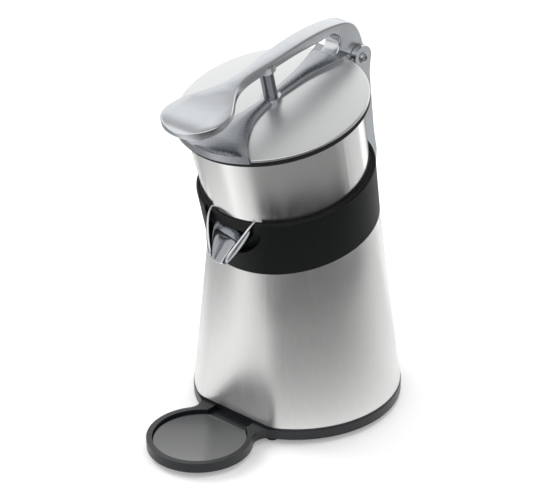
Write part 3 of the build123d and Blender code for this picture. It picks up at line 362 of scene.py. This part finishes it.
# Glass-filled nylon: black with a trace of green, matt, so that it hardly mirrors the room. The fibres
# show as a faint mottle, drawn at 1.5 mm.
nylon, tree, shader, place = start("glass_filled_nylon", "#141a18", 0.0, 0.5)
shader.inputs["Specular IOR Level"].default_value = 0.16
fibre = add(tree, "ShaderNodeTexNoise", {"Scale": 1 / 0.0015, "Detail": 3.0}, {"Vector": place})
flow = add(tree, "ShaderNodeMix", {"data_type": "RGBA", 6: linear("#090d0c"), 7: linear("#111614")},
           {0: fibre.outputs["Fac"]})
tree.links.new(flow.outputs[2], shader.inputs["Base Color"])
matt = add(tree, "ShaderNodeMapRange", {"To Min": 0.42, "To Max": 0.58}, {"Value": fibre.outputs["Fac"]})
tree.links.new(matt.outputs["Result"], shader.inputs["Roughness"])
dress(eased("collar", width=0.0008, steps=3), nylon)

# A black rubber ring, which is also painted shade in the gap between the bowl and the collar.
gasket_profile = [
    (0.0787, 0.0426), (0.0797, 0.0426), (0.0802, 0.0434), (0.0809, 0.0534), (0.0805, 0.0543),
    (0.0797, 0.0547), (0.0789, 0.0545), (0.0787, 0.0540), (0.0787, 0.0426),
]
gasket = turned("bowl_gasket_and_gap_shade", gasket_profile, head, 128, False)
dress(gasket, rubber)
belongs(gasket, "frame", "rubber")

# The guard's top edge dips under the spout, in half an ellipse.
GUARD_OUT = 0.0764
GUARD_T = 0.0012
GUARD_LOW = 0.0112
GUARD_TOP = 0.0437
GUARD_SPAN = math.radians(33)
GUARD_STEPS = 48
DIP_HALF = 0.0236
DIP_RIM = 0.0515
DIP_LOW = 0.0268
GUARD_IN = GUARD_OUT - GUARD_T
guard_rings = []
for step in range(GUARD_STEPS + 1):
    turn = -GUARD_SPAN + 2 * GUARD_SPAN * step / GUARD_STEPS
    across = GUARD_OUT * math.sin(turn)
    top = GUARD_TOP
    if abs(across) < DIP_HALF:
        top = min(GUARD_TOP, DIP_RIM - (DIP_RIM - DIP_LOW) * math.sqrt(1 - (across / DIP_HALF) ** 2))
    ring = []
    for radius, height in ((GUARD_OUT, GUARD_LOW), (GUARD_OUT, top), (GUARD_IN, top), (GUARD_IN, GUARD_LOW)):
        ring.append(head @ Vector((radius * math.sin(turn), -radius * math.cos(turn), height)))
    guard_rings.append(ring)
guard = bpy.data.objects.new("splash_guard", rings_to_mesh("splash_guard", guard_rings, True))
scene.collection.objects.link(guard)
dress(guard, nylon)
belongs(guard, "frame", "black_moulding")


# Bowl, spout and strainer
# Deep-drawn stainless steel, polished. The spout is welded to the bowl's foot and comes out through
# the collar's notch; the strainer drops on to the bowl's ledge.

# Polished stainless steel: nearly a mirror, with the soft drag of the polishing mop, 5 mm wide.
polished, tree, shader, place = start("polished_stainless_steel", "#e2e2e1", 1.0, 0.14)
drag = add(tree, "ShaderNodeMapping", {"Scale": (1.0, 1.0, 0.05)}, {"Vector": place})
mop = add(tree, "ShaderNodeTexNoise", {"Scale": 1 / 0.005, "Detail": 4.0}, {"Vector": drag.outputs["Vector"]})
haze = add(tree, "ShaderNodeMapRange", {"To Min": 0.1, "To Max": 0.2}, {"Value": mop.outputs["Fac"]})
tree.links.new(haze.outputs["Result"], shader.inputs["Roughness"])
for name in ("bowl", "strainer"):
    dress(nodes[name], polished)

# Each station of the spout: distance forward, half width, height of the rim and of the floor, wall, bead.
spout_stations = [
    (0.0700, 0.0268, 0.0548, 0.0300, 0.0012, 0.0010), (0.0760, 0.0263, 0.0540, 0.0280, 0.0012, 0.0010),
    (0.0820, 0.0250, 0.0506, 0.0260, 0.0012, 0.0012), (0.0880, 0.0222, 0.0440, 0.0236, 0.0012, 0.0016),
    (0.0940, 0.0184, 0.0364, 0.0212, 0.0012, 0.0021), (0.0990, 0.0144, 0.0294, 0.0192, 0.0012, 0.0024),
    (0.1024, 0.0112, 0.0244, 0.0180, 0.0011, 0.0021), (0.1033, 0.0104, 0.0234, 0.0180, 0.0008, 0.0014),
    (0.1035, 0.0100, 0.0230, 0.0184, 0.0, 0.0001),
]
# In degrees, the half round of the trough and the bead on its edge; the bead sits BEAD_SEAT of its
# radius above that edge.
TROUGH_SWEEP = range(-90, 91, 10)
BEAD_SWEEP = range(-40, 221, 26)
BEAD_SEAT = 0.8
spout_rings = []
for forward, half, rim, low, wall, bead in spout_stations:
    ring = []
    for inset, sweep, side in ((0.0, TROUGH_SWEEP, 1), (wall, reversed(TROUGH_SWEEP), -1)):
        for degrees in sweep:
            turn = math.radians(degrees)
            drop = (rim - low - inset) * math.cos(turn)
            ring.append(Vector(((half - inset) * math.sin(turn), -forward, rim - drop)))
        centre = Vector((side * (half - wall / 2), -forward, rim + bead * BEAD_SEAT))
        for degrees in BEAD_SWEEP:
            turn = math.radians(degrees)
            ring.append(centre + bead * Vector((math.cos(turn), 0, math.sin(turn))))
    spout_rings.append([head @ point for point in ring])
spout = bpy.data.objects.new("spout_rolled_rim", rings_to_mesh("spout_rolled_rim", spout_rings, False))
scene.collection.objects.link(spout)
smooth = spout.modifiers.new("drawn_curve", "SUBSURF")
smooth.levels = 2
smooth.render_levels = 2

# Bright-drawn stainless steel: the spout is drawn and not mopped, so it is sharper than the bowl. Its colour
# is darker than the bowl's steel as painted shade, so that the spout reads darker; faint draw marks 6 mm
# wide.
darkened_spout_steel, tree, shader, place = start("spout_steel_painted_shade", "#c9ccd0", 1.0, 0.1)
pull = add(tree, "ShaderNodeTexNoise", {"Scale": 1 / 0.006, "Detail": 3.0}, {"Vector": place})
gleam = add(tree, "ShaderNodeMapRange", {"To Min": 0.07, "To Max": 0.15}, {"Value": pull.outputs["Fac"]})
tree.links.new(gleam.outputs["Result"], shader.inputs["Roughness"])
dress(spout, darkened_spout_steel)
belongs(spout, "frame", "polished_steel", "spout")


# Hinge bracket, its screws, the hinge pin and its nut
# A cast aluminium post behind the bowl, screwed to the collar, with two ears for the lever's pin.
# The pin is a button-head bolt with a nut on its far end.

# Polished cast aluminium: pale, faintly blue, with the slight orange peel of a tumbled casting, 6 mm wide.
cast, tree, shader, place = start("polished_cast_aluminium", "#c6c9cc", 1.0, 0.24)
peel = add(tree, "ShaderNodeTexNoise", {"Scale": 1 / 0.006, "Detail": 3.0}, {"Vector": place})
soft = add(tree, "ShaderNodeMapRange", {"To Min": 0.18, "To Max": 0.3}, {"Value": peel.outputs["Fac"]})
tree.links.new(soft.outputs["Result"], shader.inputs["Roughness"])
ripple = add(tree, "ShaderNodeBump", {"Strength": 0.15, "Distance": 0.0002}, {"Height": peel.outputs["Fac"]})
tree.links.new(ripple.outputs["Normal"], shader.inputs["Normal"])
dress(eased("hinge_bracket", width=0.0011, steps=3), cast)

PIN_Y = 0.1095
PIN_Z = 0.1195
EAR_OUT = 0.0165
pin_profile = [
    (0.0036, -EAR_OUT - 0.0050), (0.0040, -EAR_OUT - 0.0046), (0.0040, EAR_OUT), (0.0054, EAR_OUT),
    (0.0055, EAR_OUT + 0.0006), (0.0050, EAR_OUT + 0.0015), (0.0040, EAR_OUT + 0.0022),
    (0.0030, EAR_OUT + 0.0025), (0.0022, EAR_OUT + 0.0025, 6), (0.0021, EAR_OUT + 0.0008, 6),
]
pin_place = head @ Matrix.Translation((0, PIN_Y, PIN_Z)) @ Matrix.Rotation(math.radians(90), 4, "Y")
pin = turned("hinge_pin_button_head", pin_profile, pin_place, 48)
dress(pin, zinc)
belongs(pin, "frame", "zinc_steel", "hinge_pin")
dress(eased("hinge_nut", width=0.0005, steps=2), zinc)

BRACKET_SCREW_X = 0.008
BRACKET_SCREW_Z = 0.0155
POST_FRONT_Y = 0.0935
cap_profile = [
    (0.0025, -0.0242), (0.0025, 0.0), (0.0042, 0.0), (0.0042, 0.0036), (0.0039, 0.0040), (0.0030, 0.0040),
    (0.0020, 0.0040, 6), (0.0019, 0.0018, 6),
]
bracket_screws = []
for side in (1, -1):
    spot = Matrix.Translation((side * BRACKET_SCREW_X, POST_FRONT_Y, BRACKET_SCREW_Z))
    facing = head @ spot @ Matrix.Rotation(math.radians(-90), 4, "X")
    bracket_screws.append(turned("bracket_screw", cap_profile, facing, 36))
bracket_screws = joined("bracket_screws_cap_head", bracket_screws)
dress(bracket_screws, zinc)
belongs(bracket_screws, "frame", "zinc_steel", "bracket_screws")


# Lever, press rod and press cup
# One aluminium casting: polished paddle, upper arm and finger loop, and a strap across the lid in a darker
# copy of the casting's finish as painted shade.
# A hard-chromed rod stands between the arms and carries the press cup, held by a nut.
lever = eased("lever", width=0.0011, steps=3)
dress(lever, cast)
dress(nodes["press_cup"], cast)
dress(nodes["rod_nut"], zinc)


def ramp(value, *stops):
    """Straight-line steps between pairs of place and level."""
    if value <= stops[0][0]:
        return stops[0][1]
    for (start_at, low), (end_at, high) in zip(stops[:-1], stops[1:]):
        if value <= end_at:
            return low + (high - low) * (value - start_at) / (end_at - start_at)
    return stops[-1][1]


# The strap's rounded back, laid over the casting's flat strap. Along the lid it has a half width, softened
# over a few millimetres, and a share of its full rise.
STRAP_TOP = 0.13745
STRAP_EDGE_R = 0.0908
STRAP_RISE = 0.0026
STRAP_FRONT = -0.0895
STRAP_LENGTH = 0.1675
STRAP_STEPS = 44
STRAP_POINTS = 17
STRAP_SINK = 0.0008
STRAP_TUCK = 0.9
strap_widths = [(-0.0788, 0.0424), (-0.0640, 0.0262), (-0.0395, 0.0112), (-0.0200, 0.0076), (0.0, 0.0061),
                (0.0474, 0.0092), (0.0780, 0.0158)]
strap_rises = [(-0.0895, 1.2), (-0.074, 1.6), (-0.045, 1.3), (0.0, 1.0), (0.05, 1.0), (0.078, 0.5)]
softening = (-0.008, -0.004, 0.0, 0.004, 0.008)
strap_rings = []
for step in range(STRAP_STEPS + 1):
    along = STRAP_FRONT + STRAP_LENGTH * step / STRAP_STEPS
    half = sum(ramp(along + shift, *strap_widths) for shift in softening) / len(softening)
    half = min(half, math.sqrt(STRAP_EDGE_R ** 2 - along ** 2))
    rise = STRAP_RISE * ramp(along, *strap_rises)
    ring = []
    for index in range(STRAP_POINTS):
        share = 2 * index / (STRAP_POINTS - 1) - 1
        ring.append(head @ Vector((half * share, along, STRAP_TOP + rise * (1 - share ** 2))))
    for share in (STRAP_TUCK, -STRAP_TUCK):
        ring.append(head @ Vector((half * share, along, STRAP_TOP - STRAP_SINK)))
    strap_rings.append(ring)
strap = bpy.data.objects.new("lever_strap_back", rings_to_mesh("lever_strap_back", strap_rings, True))
scene.collection.objects.link(strap)

# Painted shade: the lower arm gets a satin copy of the cast aluminium, darker and greyer than the polished
# handle for the shade under the upper arm, with a 2 mm grain.
shaded_cast, tree, shader, place = start("cast_aluminium_painted_shade", "#a2a5a9", 1.0, 0.26)
shot = add(tree, "ShaderNodeTexNoise", {"Scale": 1 / 0.002, "Detail": 3.0}, {"Vector": place})
satin = add(tree, "ShaderNodeMapRange", {"To Min": 0.22, "To Max": 0.3}, {"Value": shot.outputs["Fac"]})
tree.links.new(satin.outputs["Result"], shader.inputs["Roughness"])
dress(strap, shaded_cast)
belongs(strap, "lever", "cast_aluminium")

# The casting's own strap gets the same painted shade: its faces below SHADE_TOP and in front of SHADE_REAR.
SHADE_TOP = 0.1385
SHADE_REAR = 0.080
lever.data.materials.append(shaded_cast)
upright = head.inverted()
for face in lever.data.polygons:
    middle = upright @ face.center
    if middle.z < SHADE_TOP and middle.y < SHADE_REAR:
        face.material_index = 1

# Hard-chromed steel rod, sharper than the casting; its colour is darker than chrome as painted shade for its
# dark side, with faint polishing marks 2 mm across.
chrome, tree, shader, place = start("rod_steel_painted_shade", "#7c7f84", 1.0, 0.12)
marks = add(tree, "ShaderNodeTexNoise", {"Scale": 1 / 0.002, "Detail": 2.0}, {"Vector": place})
drawn = add(tree, "ShaderNodeMapRange", {"To Min": 0.08, "To Max": 0.16}, {"Value": marks.outputs["Fac"]})
tree.links.new(drawn.outputs["Result"], shader.inputs["Roughness"])
dress(nodes["press_rod"], chrome)


# Lid, its seal and screws
# A spun aluminium disc, slightly crowned, with a rolled edge and a rubber seal under it. The lever's strap
# is screwed to it. It is finished on the lathe, so its brush lines run in circles.
LID_R = 0.0895
LID_EDGE_Z = 0.13295
LID_CROWN = 0.0030
LID_FLAT_R = 0.0880
# The crown's rings stop just short of the middle, where a small flat closes it.
CROWN_RINGS = 13
CROWN_SHARES = 12.2
lid_profile = [(0.0005, 0.1310), (0.0870, 0.1310), (0.0873, 0.1300), (0.0890, 0.1300), (LID_R, 0.1304),
               (LID_R, 0.1318), (0.0892, 0.1325), (0.0886, 0.1329)]
for step in range(CROWN_RINGS):
    radius = LID_FLAT_R * (1 - step / CROWN_SHARES)
    lid_profile.append((radius, LID_EDGE_Z + LID_CROWN * (1 - (radius / LID_FLAT_R) ** 2)))
lid = turned("lid_spun", lid_profile, head, 160)

# Spun aluminium: satin, with turning lines 0.4 mm apart drawn at 1.5 mm, in circles about the lid's axis.
spun, tree, shader, place = start("spun_aluminium", "#dfe0e0", 1.0, 0.34)
lean_back = add(tree, "ShaderNodeMapping", {"vector_type": "TEXTURE", "Location": (0.0, SHIFT, HEAD_Z),
                                            "Rotation": (LEAN, 0.0, 0.0)}, {"Vector": place})
split = add(tree, "ShaderNodeSeparateXYZ", {}, {"Vector": lean_back.outputs["Vector"]})
across = add(tree, "ShaderNodeCombineXYZ", {}, {"X": split.outputs["X"], "Y": split.outputs["Y"]})
reach = add(tree, "ShaderNodeVectorMath", {"operation": "LENGTH"}, {0: across.outputs["Vector"]})
circles = add(tree, "ShaderNodeTexNoise", {"noise_dimensions": "1D", "Scale": 1 / 0.0015, "Detail": 2.0},
              {"W": reach.outputs["Value"]})
satin = add(tree, "ShaderNodeMapRange", {"To Min": 0.31, "To Max": 0.37}, {"Value": circles.outputs["Fac"]})
tree.links.new(satin.outputs["Result"], shader.inputs["Roughness"])
groove = add(tree, "ShaderNodeBump", {"Strength": 0.02, "Distance": 0.00002},
             {"Height": circles.outputs["Fac"]})
tree.links.new(groove.outputs["Normal"], shader.inputs["Normal"])
dress(lid, spun)
belongs(lid, "lever", "satin_aluminium", "lid")

lid_seal_profile = [
    (0.0790, 0.1308), (0.0790, 0.1275), (0.0846, 0.1275), (0.0852, 0.1256), (0.0862, 0.1251),
    (0.0882, 0.1250), (0.0889, 0.1254), (0.0892, 0.1262), (0.0892, 0.1296), (0.0889, 0.1299),
    (0.0870, 0.1299), (0.0868, 0.1308), (0.0790, 0.1308),
]
lid_seal = turned("lid_seal_moulded", lid_seal_profile, head, 160, False)
dress(lid_seal, rubber)
belongs(lid_seal, "lever", "rubber", "lid_seal")
dress(nodes["lid_screws"], zinc)


# Reamer, drive spindle and return spring
# A ribbed cone moulded in white acetal, pushed on to the six-sided end of the steel drive spindle.
# A coil of steel wire in the spindle lifts both again after each press.

# Acetal: warm white, waxy, with faint flow marks 8 mm across.
acetal, tree, shader, place = start("white_acetal", "#e6e3da", 0.0, 0.36)
shader.inputs["Subsurface Weight"].default_value = 0.15
shader.inputs["Subsurface Radius"].default_value = (0.004, 0.003, 0.002)
wax = add(tree, "ShaderNodeTexNoise", {"Scale": 1 / 0.008, "Detail": 3.0}, {"Vector": place})
cream = add(tree, "ShaderNodeMix", {"data_type": "RGBA", 6: linear("#dfdbd0"), 7: linear("#ece9e1")},
            {0: wax.outputs["Fac"]})
tree.links.new(cream.outputs[2], shader.inputs["Base Color"])
dress(nodes["reamer"], acetal)
dress(nodes["drive_spindle"], zinc)

# The coil stands between the shaft's end and the spindle.
SPRING_LOW = 0.03405
SPRING_TOP = 0.0420
WIRE_R = 0.0005
WIRE_SIDES = 8
COIL_R = 0.0036
COIL_STEPS = 84
STEPS_A_TURN = 24
coil_rings = []
for step in range(COIL_STEPS + 1):
    turn = 2 * math.pi * step / STEPS_A_TURN
    height = SPRING_LOW + WIRE_R + (SPRING_TOP - SPRING_LOW - 2 * WIRE_R) * step / COIL_STEPS
    ring = []
    for corner in range(WIRE_SIDES):
        about = 2 * math.pi * corner / WIRE_SIDES
        reach = COIL_R + WIRE_R * math.cos(about)
        rise = height + WIRE_R * math.sin(about)
        ring.append(head @ Vector((reach * math.cos(turn), reach * math.sin(turn), rise)))
    coil_rings.append(ring)
spring = bpy.data.objects.new("return_spring_coil", rings_to_mesh("return_spring_coil", coil_rings, True))
scene.collection.objects.link(spring)
dress(spring, zinc)
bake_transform(spring)
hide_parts("return_spring")


# Motor and switch inside the casing
# An induction motor hangs under the collar's deck: cast end bells, a stack of core sheets and copper
# windings, with a plastic fan below. A small switch beside it starts it when the reamer is pressed.

# As-cast aluminium: dull grey and grainy, 1.5 mm sand texture.
casting, tree, shader, place = start("as_cast_aluminium", "#9a9b9c", 1.0, 0.5)
sand = add(tree, "ShaderNodeTexNoise", {"Scale": 1 / 0.0015, "Detail": 3.0}, {"Vector": place})
rough = add(tree, "ShaderNodeBump", {"Strength": 0.4, "Distance": 0.0002}, {"Height": sand.outputs["Fac"]})
tree.links.new(rough.outputs["Normal"], shader.inputs["Normal"])
for name in ("upper_end_bell", "lower_end_bell"):
    dress(nodes[name], casting)

# Varnished core sheet: dark steel in 0.65 mm sheets, drawn as bands 1.3 mm high across the leaning axis.
core, tree, shader, place = start("varnished_core_sheet", "#4a4b4e", 1.0, 0.45)
stack = add(tree, "ShaderNodeMapping", {"Rotation": (-LEAN, 0.0, 0.0)}, {"Vector": place})
sheets = add(tree, "ShaderNodeTexWave", {"bands_direction": "Z", "Scale": WAVE / 0.0013},
             {"Vector": stack.outputs["Vector"]})
layer = add(tree, "ShaderNodeMix", {"data_type": "RGBA", 6: linear("#3a3b3e"), 7: linear("#57585b")},
            {0: sheets.outputs["Fac"]})
tree.links.new(layer.outputs[2], shader.inputs["Base Color"])
for name in ("stator_core", "rotor_core"):
    dress(nodes[name], core)

# Enamelled copper wire: brown-red under varnish, wound in turns 1.2 mm thick.
copper, tree, shader, place = start("enamelled_copper_wire", "#a65a33", 1.0, 0.32)
turns = add(tree, "ShaderNodeTexWave",
            {"wave_type": "RINGS", "rings_direction": "Z", "Scale": WAVE / 0.0012}, {"Vector": place})
wound = add(tree, "ShaderNodeBump", {"Strength": 0.5, "Distance": 0.0003}, {"Height": turns.outputs["Fac"]})
tree.links.new(wound.outputs["Normal"], shader.inputs["Normal"])
for name in ("upper_winding", "lower_winding"):
    dress(nodes[name], copper)

for name in ("motor_shaft", "upper_bearing", "lower_bearing", "fan_clip", "motor_bolts", "capacitor_clip",
             "switch_bracket", "switch_screws"):
    dress(nodes[name], zinc)
for name in ("cooling_fan", "micro_switch", "switch_actuator"):
    dress(nodes[name], abs_black)
for name in ("terminal_block", "run_capacitor"):
    dress(nodes[name], acetal)
for name in ("motor_mounts", "shaft_seal"):
    dress(nodes[name], rubber)


# Floor and room
# A pale seamless floor in a white room. Both are a little lighter to the camera and in reflections, and
# the room is brighter near the horizon than overhead.
FLOOR_HALF = 15
FLOOR_LIFT = 0.22
floor_mesh = bpy.data.meshes.new("floor")
floor_mesh.from_pydata([(-FLOOR_HALF, -FLOOR_HALF, 0), (FLOOR_HALF, -FLOOR_HALF, 0),
                        (FLOOR_HALF, FLOOR_HALF, 0), (-FLOOR_HALF, FLOOR_HALF, 0)], [], [(0, 1, 2, 3)])
floor = bpy.data.objects.new("floor", floor_mesh)
scene.collection.objects.link(floor)

# Matt floor paint: pale and even, with hardly any gloss, so that only the soft shadow shows on it.
pale, tree, shader, _ = start("pale_floor", "#ededed", 0.0, 0.9)
shader.inputs["Specular IOR Level"].default_value = 0.1
path = add(tree, "ShaderNodeLightPath", {}, {})
seen = add(tree, "ShaderNodeMath", {"operation": "ADD", "use_clamp": True},
           {0: path.outputs["Is Camera Ray"], 1: path.outputs["Is Glossy Ray"]})
seen = add(tree, "ShaderNodeMath", {"operation": "ADD", "use_clamp": True},
           {0: seen.outputs["Value"], 1: path.outputs["Is Transmission Ray"]})
lift = add(tree, "ShaderNodeMath", {"operation": "MULTIPLY", 1: FLOOR_LIFT}, {0: seen.outputs["Value"]})
shader.inputs["Emission Color"].default_value = linear("#ffffff")
tree.links.new(lift.outputs["Value"], shader.inputs["Emission Strength"])
dress(floor, pale)

room = bpy.data.worlds.new("white_room")
scene.world = room
room.use_nodes = True
tree = room.node_tree
path = add(tree, "ShaderNodeLightPath", {}, {})
seen = add(tree, "ShaderNodeMath", {"operation": "ADD", "use_clamp": True},
           {0: path.outputs["Is Camera Ray"], 1: path.outputs["Is Glossy Ray"]})
seen = add(tree, "ShaderNodeMath", {"operation": "ADD", "use_clamp": True},
           {0: seen.outputs["Value"], 1: path.outputs["Is Transmission Ray"]})
level = add(tree, "ShaderNodeMapRange", {"To Min": 0.8, "To Max": 1.0}, {"Value": seen.outputs["Value"]})
towards = add(tree, "ShaderNodeTexCoord", {}, {})
climb = add(tree, "ShaderNodeSeparateXYZ", {}, {"Vector": towards.outputs["Generated"]})
sky = add(tree, "ShaderNodeMapRange", {"From Min": 0.62, "From Max": 0.76, "To Min": 1.3, "To Max": 0.6},
          {"Value": climb.outputs["Z"]})
strength = add(tree, "ShaderNodeMath", {"operation": "MULTIPLY"},
               {0: level.outputs["Result"], 1: sky.outputs["Result"]})
backdrop = tree.nodes["Background"]
backdrop.inputs["Color"].default_value = linear("#ffffff")
tree.links.new(strength.outputs["Value"], backdrop.inputs["Strength"])


# Lamps
# Two large softboxes, one at the left and one overhead, that give the soft shadow under the machine.
# Reflections don't see them, so the metal mirrors only the room and the cards.


def softbox(name, where, aim, size, watts):
    """A rectangular lamp that faces a point."""
    lamp = bpy.data.lights.new(name, "AREA")
    lamp.shape = "RECTANGLE"
    lamp.size, lamp.size_y = size
    lamp.energy = watts
    holder = bpy.data.objects.new(name, lamp)
    holder.location = where
    holder.rotation_euler = (Vector(aim) - Vector(where)).to_track_quat("-Z", "Y").to_euler()
    holder.visible_glossy = False
    scene.collection.objects.link(holder)


BODY_MIDDLE = (0, 0, 0.15)
softbox("left_softbox", where=(-1.5, -0.2, 1.5), aim=BODY_MIDDLE, size=(1.0, 1.2), watts=18)
softbox("top_softbox", where=(0.1, 0.5, 2.2), aim=BODY_MIDDLE, size=(1.4, 1.4), watts=18)


# Cards and flags
# Grey cards that glow, which only reflections see, clear of the machine: painted reflections that stand in
# for the darker side of the studio, so that the metal shows its form. Each is a sheet of rows about the
# body's axis.


def around(radius, degrees, height, forward=0.0):
    """A point about the body's axis, by degrees from the front towards the right."""
    turn = math.radians(degrees)
    return (radius * math.sin(turn), SHIFT - forward - radius * math.cos(turn), height)


def card(name, rows):
    """A glowing card that only reflections see, a painted reflection; each point has a place, a grey and how
    solid it is.
    """
    points = [point for row in rows for point in row]
    width = len(rows[0])
    faces = []
    for low in range(len(rows) - 1):
        for index in range(width - 1):
            first = low * width + index
            faces.append((first, first + 1, first + width + 1, first + width))
    mesh = bpy.data.meshes.new(name)
    mesh.from_pydata([point[0] for point in points], [], faces)
    grey = mesh.attributes.new("grey", "FLOAT", "POINT")
    solid = mesh.attributes.new("solid", "FLOAT", "POINT")
    for index, point in enumerate(points):
        grey.data[index].value = point[1]
        solid.data[index].value = point[2]
    piece = bpy.data.objects.new(name, mesh)
    scene.collection.objects.link(piece)
    piece.visible_camera = False
    piece.visible_diffuse = False
    piece.visible_shadow = False
    piece.visible_volume_scatter = False
    material = bpy.data.materials.new(name)
    material.use_nodes = True
    tree = material.node_tree
    tree.nodes.clear()
    tone = add(tree, "ShaderNodeAttribute", {"attribute_name": "grey"}, {})
    cover = add(tree, "ShaderNodeAttribute", {"attribute_name": "solid"}, {})
    glow = add(tree, "ShaderNodeEmission", {"Color": linear("#ffffff")}, {"Strength": tone.outputs["Fac"]})
    clear = add(tree, "ShaderNodeBsdfTransparent", {}, {})
    mixed = add(tree, "ShaderNodeMixShader", {}, {0: cover.outputs["Fac"], 1: clear.outputs["BSDF"],
                                                  2: glow.outputs["Emission"]})
    add(tree, "ShaderNodeOutputMaterial", {}, {"Surface": mixed.outputs["Shader"]})
    dress(piece, material)


# Painted reflection of a darker floor at the front and right, which fades to a lighter grey at the front
# left.
CARD_Z = 0.0015
LEFT_OF = -33
LEFT_GREY = 0.42
floor_radii = (0.15, 0.18, 0.22, 0.26, 0.3, 0.36, 0.46, 0.59, 0.72, 1.0, 2.0, 4.0)
floor_greys = ((0.16, 0.9), (0.2, 0.74), (0.29, 0.5), (0.46, 0.26), (0.59, 0.15), (0.72, 0.08), (1.0, 0.06))
right_cover = ((-32, 0.0), (-9, 0.5), (8, 0.8), (23, 0.95), (38, 1.0), (84, 1.0), (100, 0.9),
               (118, 0.74), (139, 0.52), (165, 0.4))
left_cover = ((-110, 0.0), (-90, 1.0), (-42, 1.0), (-30, 0.3))
left_reach = ((0.22, 0.2), (0.45, 1.0))
floor_rows = []
for radius in floor_radii:
    row = []
    for degrees in range(-115, 171, 5):
        grey = ramp(radius, *floor_greys) if degrees > LEFT_OF else LEFT_GREY
        to_right = ramp(degrees, *right_cover)
        to_left = ramp(degrees, *left_cover) * ramp(radius, *left_reach)
        row.append((around(radius, degrees, CARD_Z), grey, max(to_right, to_left)))
    floor_rows.append(row)
card("front_floor_card", floor_rows)

# A tall grey flag beyond it, on the same side.
FRONT_FLAG_R = 3.0
FRONT_FLAG_GREY = 0.3
front_rows = []
for height in (0.0, 0.3, 0.6, 0.9, 1.3):
    row = []
    for degrees in range(-30, 131, 5):
        aside = ramp(degrees, (-25, 0.0), (0, 1.0), (90, 1.0), (125, 0.0))
        cover = aside * ramp(height, (0.6, 1.0), (1.3, 0.0))
        row.append((around(FRONT_FLAG_R, degrees, height), FRONT_FLAG_GREY, cover))
    front_rows.append(row)
card("front_flag", front_rows)

# A taller grey flag at the rear right, which the lever's flank, the rod and the strap's right side mirror.
REAR_FLAG_R = 2.6
REAR_FLAG_GREY = 0.32
flank_rows = []
for height in (0.0, 1.0, 2.0, 3.0, 3.6, 4.6):
    row = []
    for degrees in range(90, 171, 5):
        aside = ramp(degrees, (92, 0.0), (105, 1.0), (150, 1.0), (168, 0.0))
        cover = aside * ramp(height, (3.0, 1.0), (4.6, 0.0))
        row.append((around(REAR_FLAG_R, degrees, height), REAR_FLAG_GREY, cover))
    flank_rows.append(row)
card("rear_right_flag", flank_rows)

# Painted reflection of a shaded floor at the rear left, in the left edges of the body and the bowl.
rear_rows = []
for radius in (0.14, 0.2, 0.3, 0.45, 0.8, 1.5, 3.0):
    row = []
    grey = ramp(radius, (0.2, 0.55), (0.45, 0.25))
    for degrees in range(-180, -79, 5):
        aside = ramp(degrees, (-175, 0.0), (-160, 1.0), (-115, 1.0), (-85, 0.0))
        cover = aside * ramp(radius, (0.14, 0.3), (0.3, 1.0))
        row.append((around(radius, degrees, CARD_Z), grey, cover))
    rear_rows.append(row)
card("rear_floor_card", rear_rows)

# A graded dark flag held level, well clear of the machine, in the bowl's lower right side: a painted dark
# reflection.
# Its rows follow the heights on the bowl that mirror them, and it reaches further out where the bowl turns
# away.
FLAG_Z = 0.100
FLAG_FORWARD = 0.016
bowl_flag_rows = []
for mirrored in (-0.030, -0.008, 0.0, 0.017, 0.027, 0.040, 0.053, 0.072, 0.095, 0.120):
    row = []
    grey = ramp(mirrored, (0.0, 0.02), (0.017, 0.06), (0.027, 0.15), (0.040, 0.25), (0.053, 0.3))
    for degrees in range(0, 146, 5):
        inner = ramp(degrees, (0, 0.166), (41, 0.179), (98, 0.235), (125, 0.280))
        spread = ramp(degrees, (8, 0.71), (41, 0.77), (98, 1.18), (125, 1.5))
        aside = ramp(degrees, (2, 0.0), (15, 0.8), (27, 1.0), (118, 1.0), (142, 0.0))
        cover = aside * ramp(mirrored, (-0.030, 0.0), (-0.008, 1.0), (0.095, 1.0), (0.120, 0.0))
        row.append((around(inner + spread * mirrored, degrees, FLAG_Z, FLAG_FORWARD), grey, cover))
    bowl_flag_rows.append(row)
card("bowl_flag", bowl_flag_rows)


# Camera
# It stands at the front right and above, as far off as the photograph's nearly parallel edges ask.
# Its lens gives PIXELS_A_MM at the point it aims at, and its shift frames the machine.
AZIMUTH = math.radians(41.534)
RISE = math.radians(28.049)
ROLL = math.radians(-0.839)
DISTANCE = 2.2
AIM = Vector((0, SHIFT, 0.15237))
IMAGE_W = 557
SENSOR_W = 36
PIXELS_A_MM = 1.059
SHIFT_RIGHT = -16.949
SHIFT_UP = 0.558
back = Vector((math.sin(AZIMUTH) * math.cos(RISE), -math.cos(AZIMUTH) * math.cos(RISE), math.sin(RISE)))
right = Vector((math.cos(AZIMUTH), math.sin(AZIMUTH), 0))
up = back.cross(right)
level_right = right * math.cos(ROLL) + up * math.sin(ROLL)
level_up = up * math.cos(ROLL) - right * math.sin(ROLL)
spot = AIM + back * DISTANCE
lens = bpy.data.cameras.new("camera")
lens.sensor_fit = "HORIZONTAL"
lens.sensor_width = SENSOR_W
lens.lens = SENSOR_W * PIXELS_A_MM * DISTANCE * 1000 / IMAGE_W
lens.shift_x = SHIFT_RIGHT / IMAGE_W
lens.shift_y = SHIFT_UP / IMAGE_W
lens.clip_end = 50
camera = bpy.data.objects.new("camera", lens)
scene.collection.objects.link(camera)
camera.matrix_world = Matrix((
    (level_right.x, level_up.x, back.x, spot.x),
    (level_right.y, level_up.y, back.y, spot.y),
    (level_right.z, level_up.z, back.z, spot.z),
    (0, 0, 0, 1),
))
scene.camera = camera

scene.view_settings.view_transform = "Standard"
